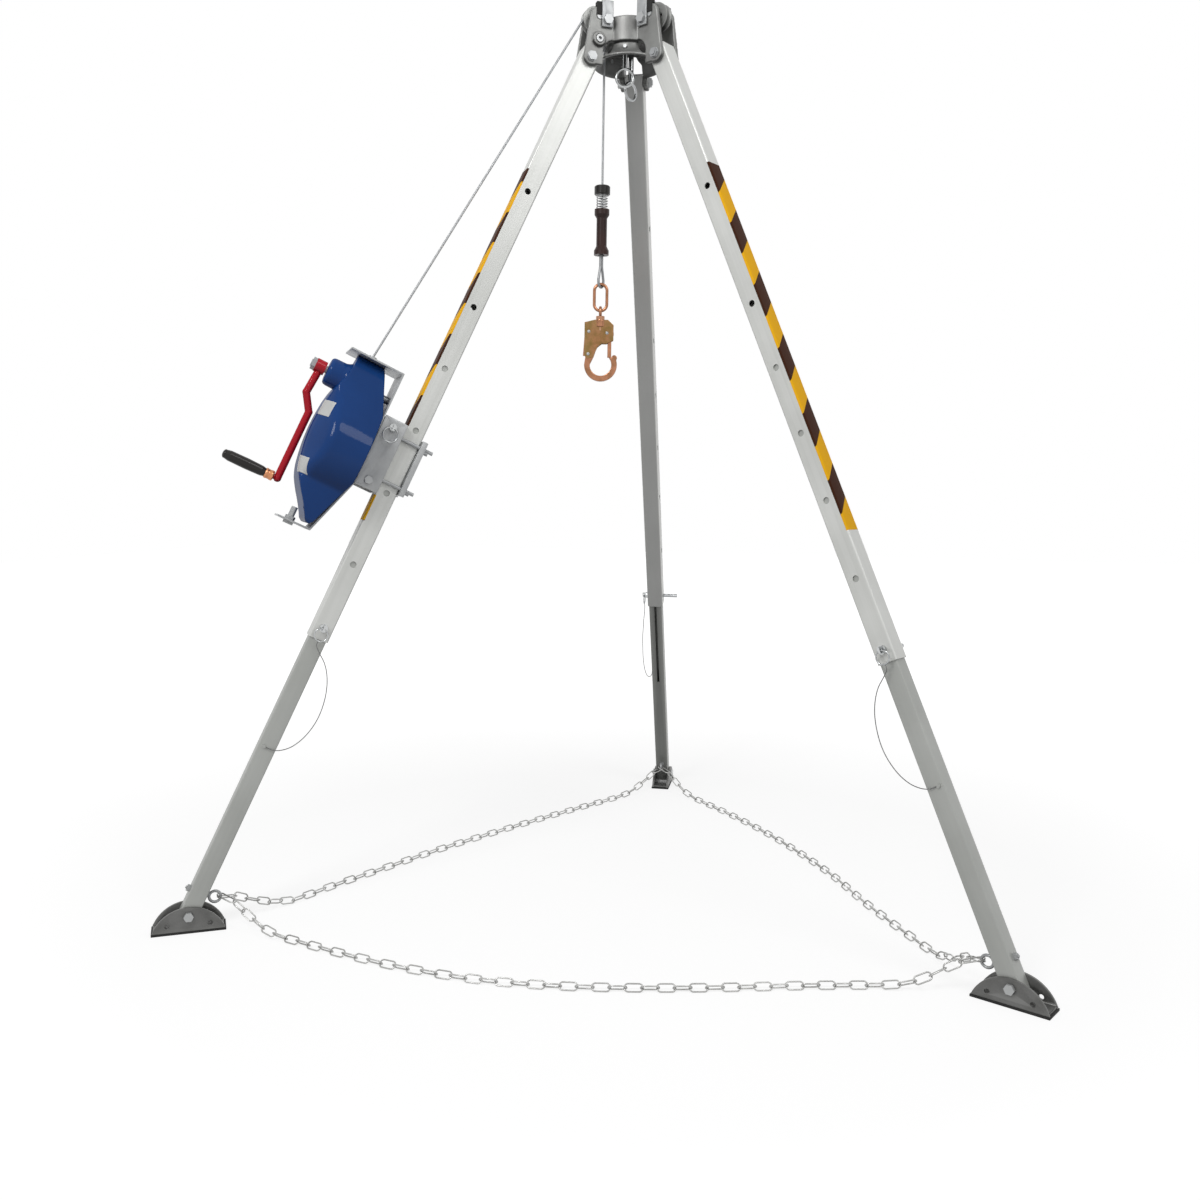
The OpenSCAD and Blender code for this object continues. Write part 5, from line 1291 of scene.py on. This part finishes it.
# %% [markdown]
# ## Dressing the pieces
#
# Each piece takes its finish. A solid that stays visible takes the finish of its own slot. The
# tubes, the feet, the pins and the anchor eyebolts have finishes of their own. Finishes could be set
# one object at a time, but a table shows at a glance what is made of what.

# %% Finish by material slot
FINISH_OF_SLOT = {
    "cast_alloy": cast, "zinc_steel": zinc, "chain_steel": chain_zinc, "wire_rope": rope,
    "gold_zinc": gold, "blue_paint": blue, "red_paint": red, "black_plastic": black,
    "brown_grip": brown, "black_rubber": rubber, "dark_steel": dark,
}
SLOT_OF_NODE = {p["node"]: p["material_slot"] for p in frame["record"]["subparts"]}
FINISH_OF_NODE = {f"foot_{leg}": dark_cast for leg in BEARING}
FINISH_OF_NODE |= {f"upper_leg_{leg}": bright[leg] for leg in BEARING}
FINISH_OF_NODE |= {f"lower_leg_{leg}": grey[leg] for leg in BEARING}
FINISH_OF_NODE |= {f"lock_pin_{leg}": polished for leg in BEARING}
FINISH_OF_NODE |= {name: polished for name in ("anchor_eyebolts", "mount_pin")}


def node_finish(node):
    return FINISH_OF_NODE.get(node) or FINISH_OF_SLOT[SLOT_OF_NODE[node]]


def dress(obj, material, slot):
    obj.data.materials.clear()
    obj.data.materials.append(material)


for name, obj in nodes.items():
    obj.data.materials.clear()
    obj.data.materials.append(node_finish(name))
for name, obj in soft.items():
    dress(obj, node_finish(name), SLOT_OF_NODE[name])
for leg in BEARING:
    dress(lower_tubes[leg], grey[leg], "grey_aluminium")
    dress(lanyards[leg], wire, "wire_rope")
for pieces, material, slot in (
        ((winch_line, hang_line), rope, "wire_rope"), ((bumper_spring,), zinc, "zinc_steel"),
        (chain_pieces, chain_zinc, "chain_steel"),
        (tapes, warning_tape, "bright_aluminium"), (pads, rubber, "black_rubber"),
        ((housing,), blue, "blue_paint"), (labels, plate_white, "zinc_steel"),
        (cheeks, olive, "gold_zinc"), (rivets, zinc, "zinc_steel"),
        ((ferrule,), copper, "gold_zinc"), ((cap,), black, "black_plastic")):
    for obj in pieces:
        dress(obj, material, slot)
print(len(bpy.data.materials), "materials")

# %% [markdown]
# ## Floor and surround
#
# A picture of a product on white has no visible horizon. More lamps would bleach the object, so the
# white comes from the floor and the world themselves. A Light Path node lets only the rays that
# show them, straight to the eye or in a mirror, see a glow. The glow is low near the feet, where
# the shadow lies, and full far away.

# %% Floor
def seen_rays(tree):
    """1 for rays that show the surround as it is: straight to the eye, mirrored, or through glass."""
    path = tree.nodes.new("ShaderNodeLightPath")
    glossy = math_node(tree, "MAXIMUM", path.outputs["Is Camera Ray"], path.outputs["Is Glossy Ray"])
    return math_node(tree, "MAXIMUM", glossy, path.outputs["Is Transmission Ray"])


FLOOR_LOW, FLOOR_HIGH = (-9, -6, -0.02), (9, 16, 0.0)
FLOOR_GREY = (0.30, 0.30, 0.30, 1)
GLOW_NEAR, GLOW_FAR = 0.78, 1.0
SHADOW_REACH, WHITE_FROM = 1.1, 3.6
floor = box_mesh("floor", FLOOR_LOW, FLOOR_HIGH)
floor_paint, floor_tree, floor_shader = new_shader("floor_paint", 0.0)
floor_shader.inputs["Base Color"].default_value = FLOOR_GREY
floor_shader.inputs["Roughness"].default_value = 0.95
floor_shader.inputs["Specular IOR Level"].default_value = 0.1
floor_shader.inputs["Emission Color"].default_value = (1, 1, 1, 1)
floor_place = floor_tree.nodes.new("ShaderNodeTexCoord")
from_centre = floor_tree.nodes.new("ShaderNodeVectorMath")
from_centre.operation = "LENGTH"
floor_tree.links.new(floor_place.outputs["Object"], from_centre.inputs[0])
far = ramp(floor_tree, from_centre.outputs["Value"], SHADOW_REACH, WHITE_FROM)
gain = math_node(floor_tree, "MULTIPLY", far, GLOW_FAR - GLOW_NEAR)
glow = math_node(floor_tree, "ADD", gain, GLOW_NEAR)
floor_tree.links.new(math_node(floor_tree, "MULTIPLY", seen_rays(floor_tree), glow),
                     floor_shader.inputs["Emission Strength"])
floor.data.materials.append(floor_paint)
print("floor glow", GLOW_NEAR, "to", GLOW_FAR)

# %% World
SURROUND = 0.34
world = bpy.data.worlds.new("surround")
world.use_nodes = True
sky_tree = world.node_tree
sky = sky_tree.nodes["Background"]
sky.inputs["Color"].default_value = (1, 1, 1, 1)
lift = math_node(sky_tree, "MULTIPLY", seen_rays(sky_tree), 1 - SURROUND)
sky_tree.links.new(math_node(sky_tree, "ADD", lift, SURROUND), sky.inputs["Strength"])
scene.world = world
print("surround", SURROUND)

# %% [markdown]
# ## Lamps
#
# Two round soft lamps stand in front, as in a small studio. The key lamp is high on the left, so
# the near faces of the legs are bright and the faces that look down stay grey. The weaker fill lamp
# opens the shadows on the right. Area lamps were chosen because a sun or a point lamp would draw
# hard shadows.

# %% Key and fill
def soft_light(name, place, target, size, power):
    data = bpy.data.lights.new(name, "AREA")
    data.shape = "DISK"
    data.size = size
    data.energy = power
    light = bpy.data.objects.new(name, data)
    light.location = place
    light.rotation_euler = (Vector(target) - Vector(place)).to_track_quat("-Z", "Y").to_euler()
    scene.collection.objects.link(light)
    print(name, power, "W")


LAMP_SIZE = 1.5
soft_light("key", place=(-1.2, -3.2, 3.6), target=(0, 0, 1.0), size=LAMP_SIZE, power=66)
soft_light("fill", place=(2.2, -2.0, 3.4), target=(0, 0, 0.9), size=LAMP_SIZE, power=26)
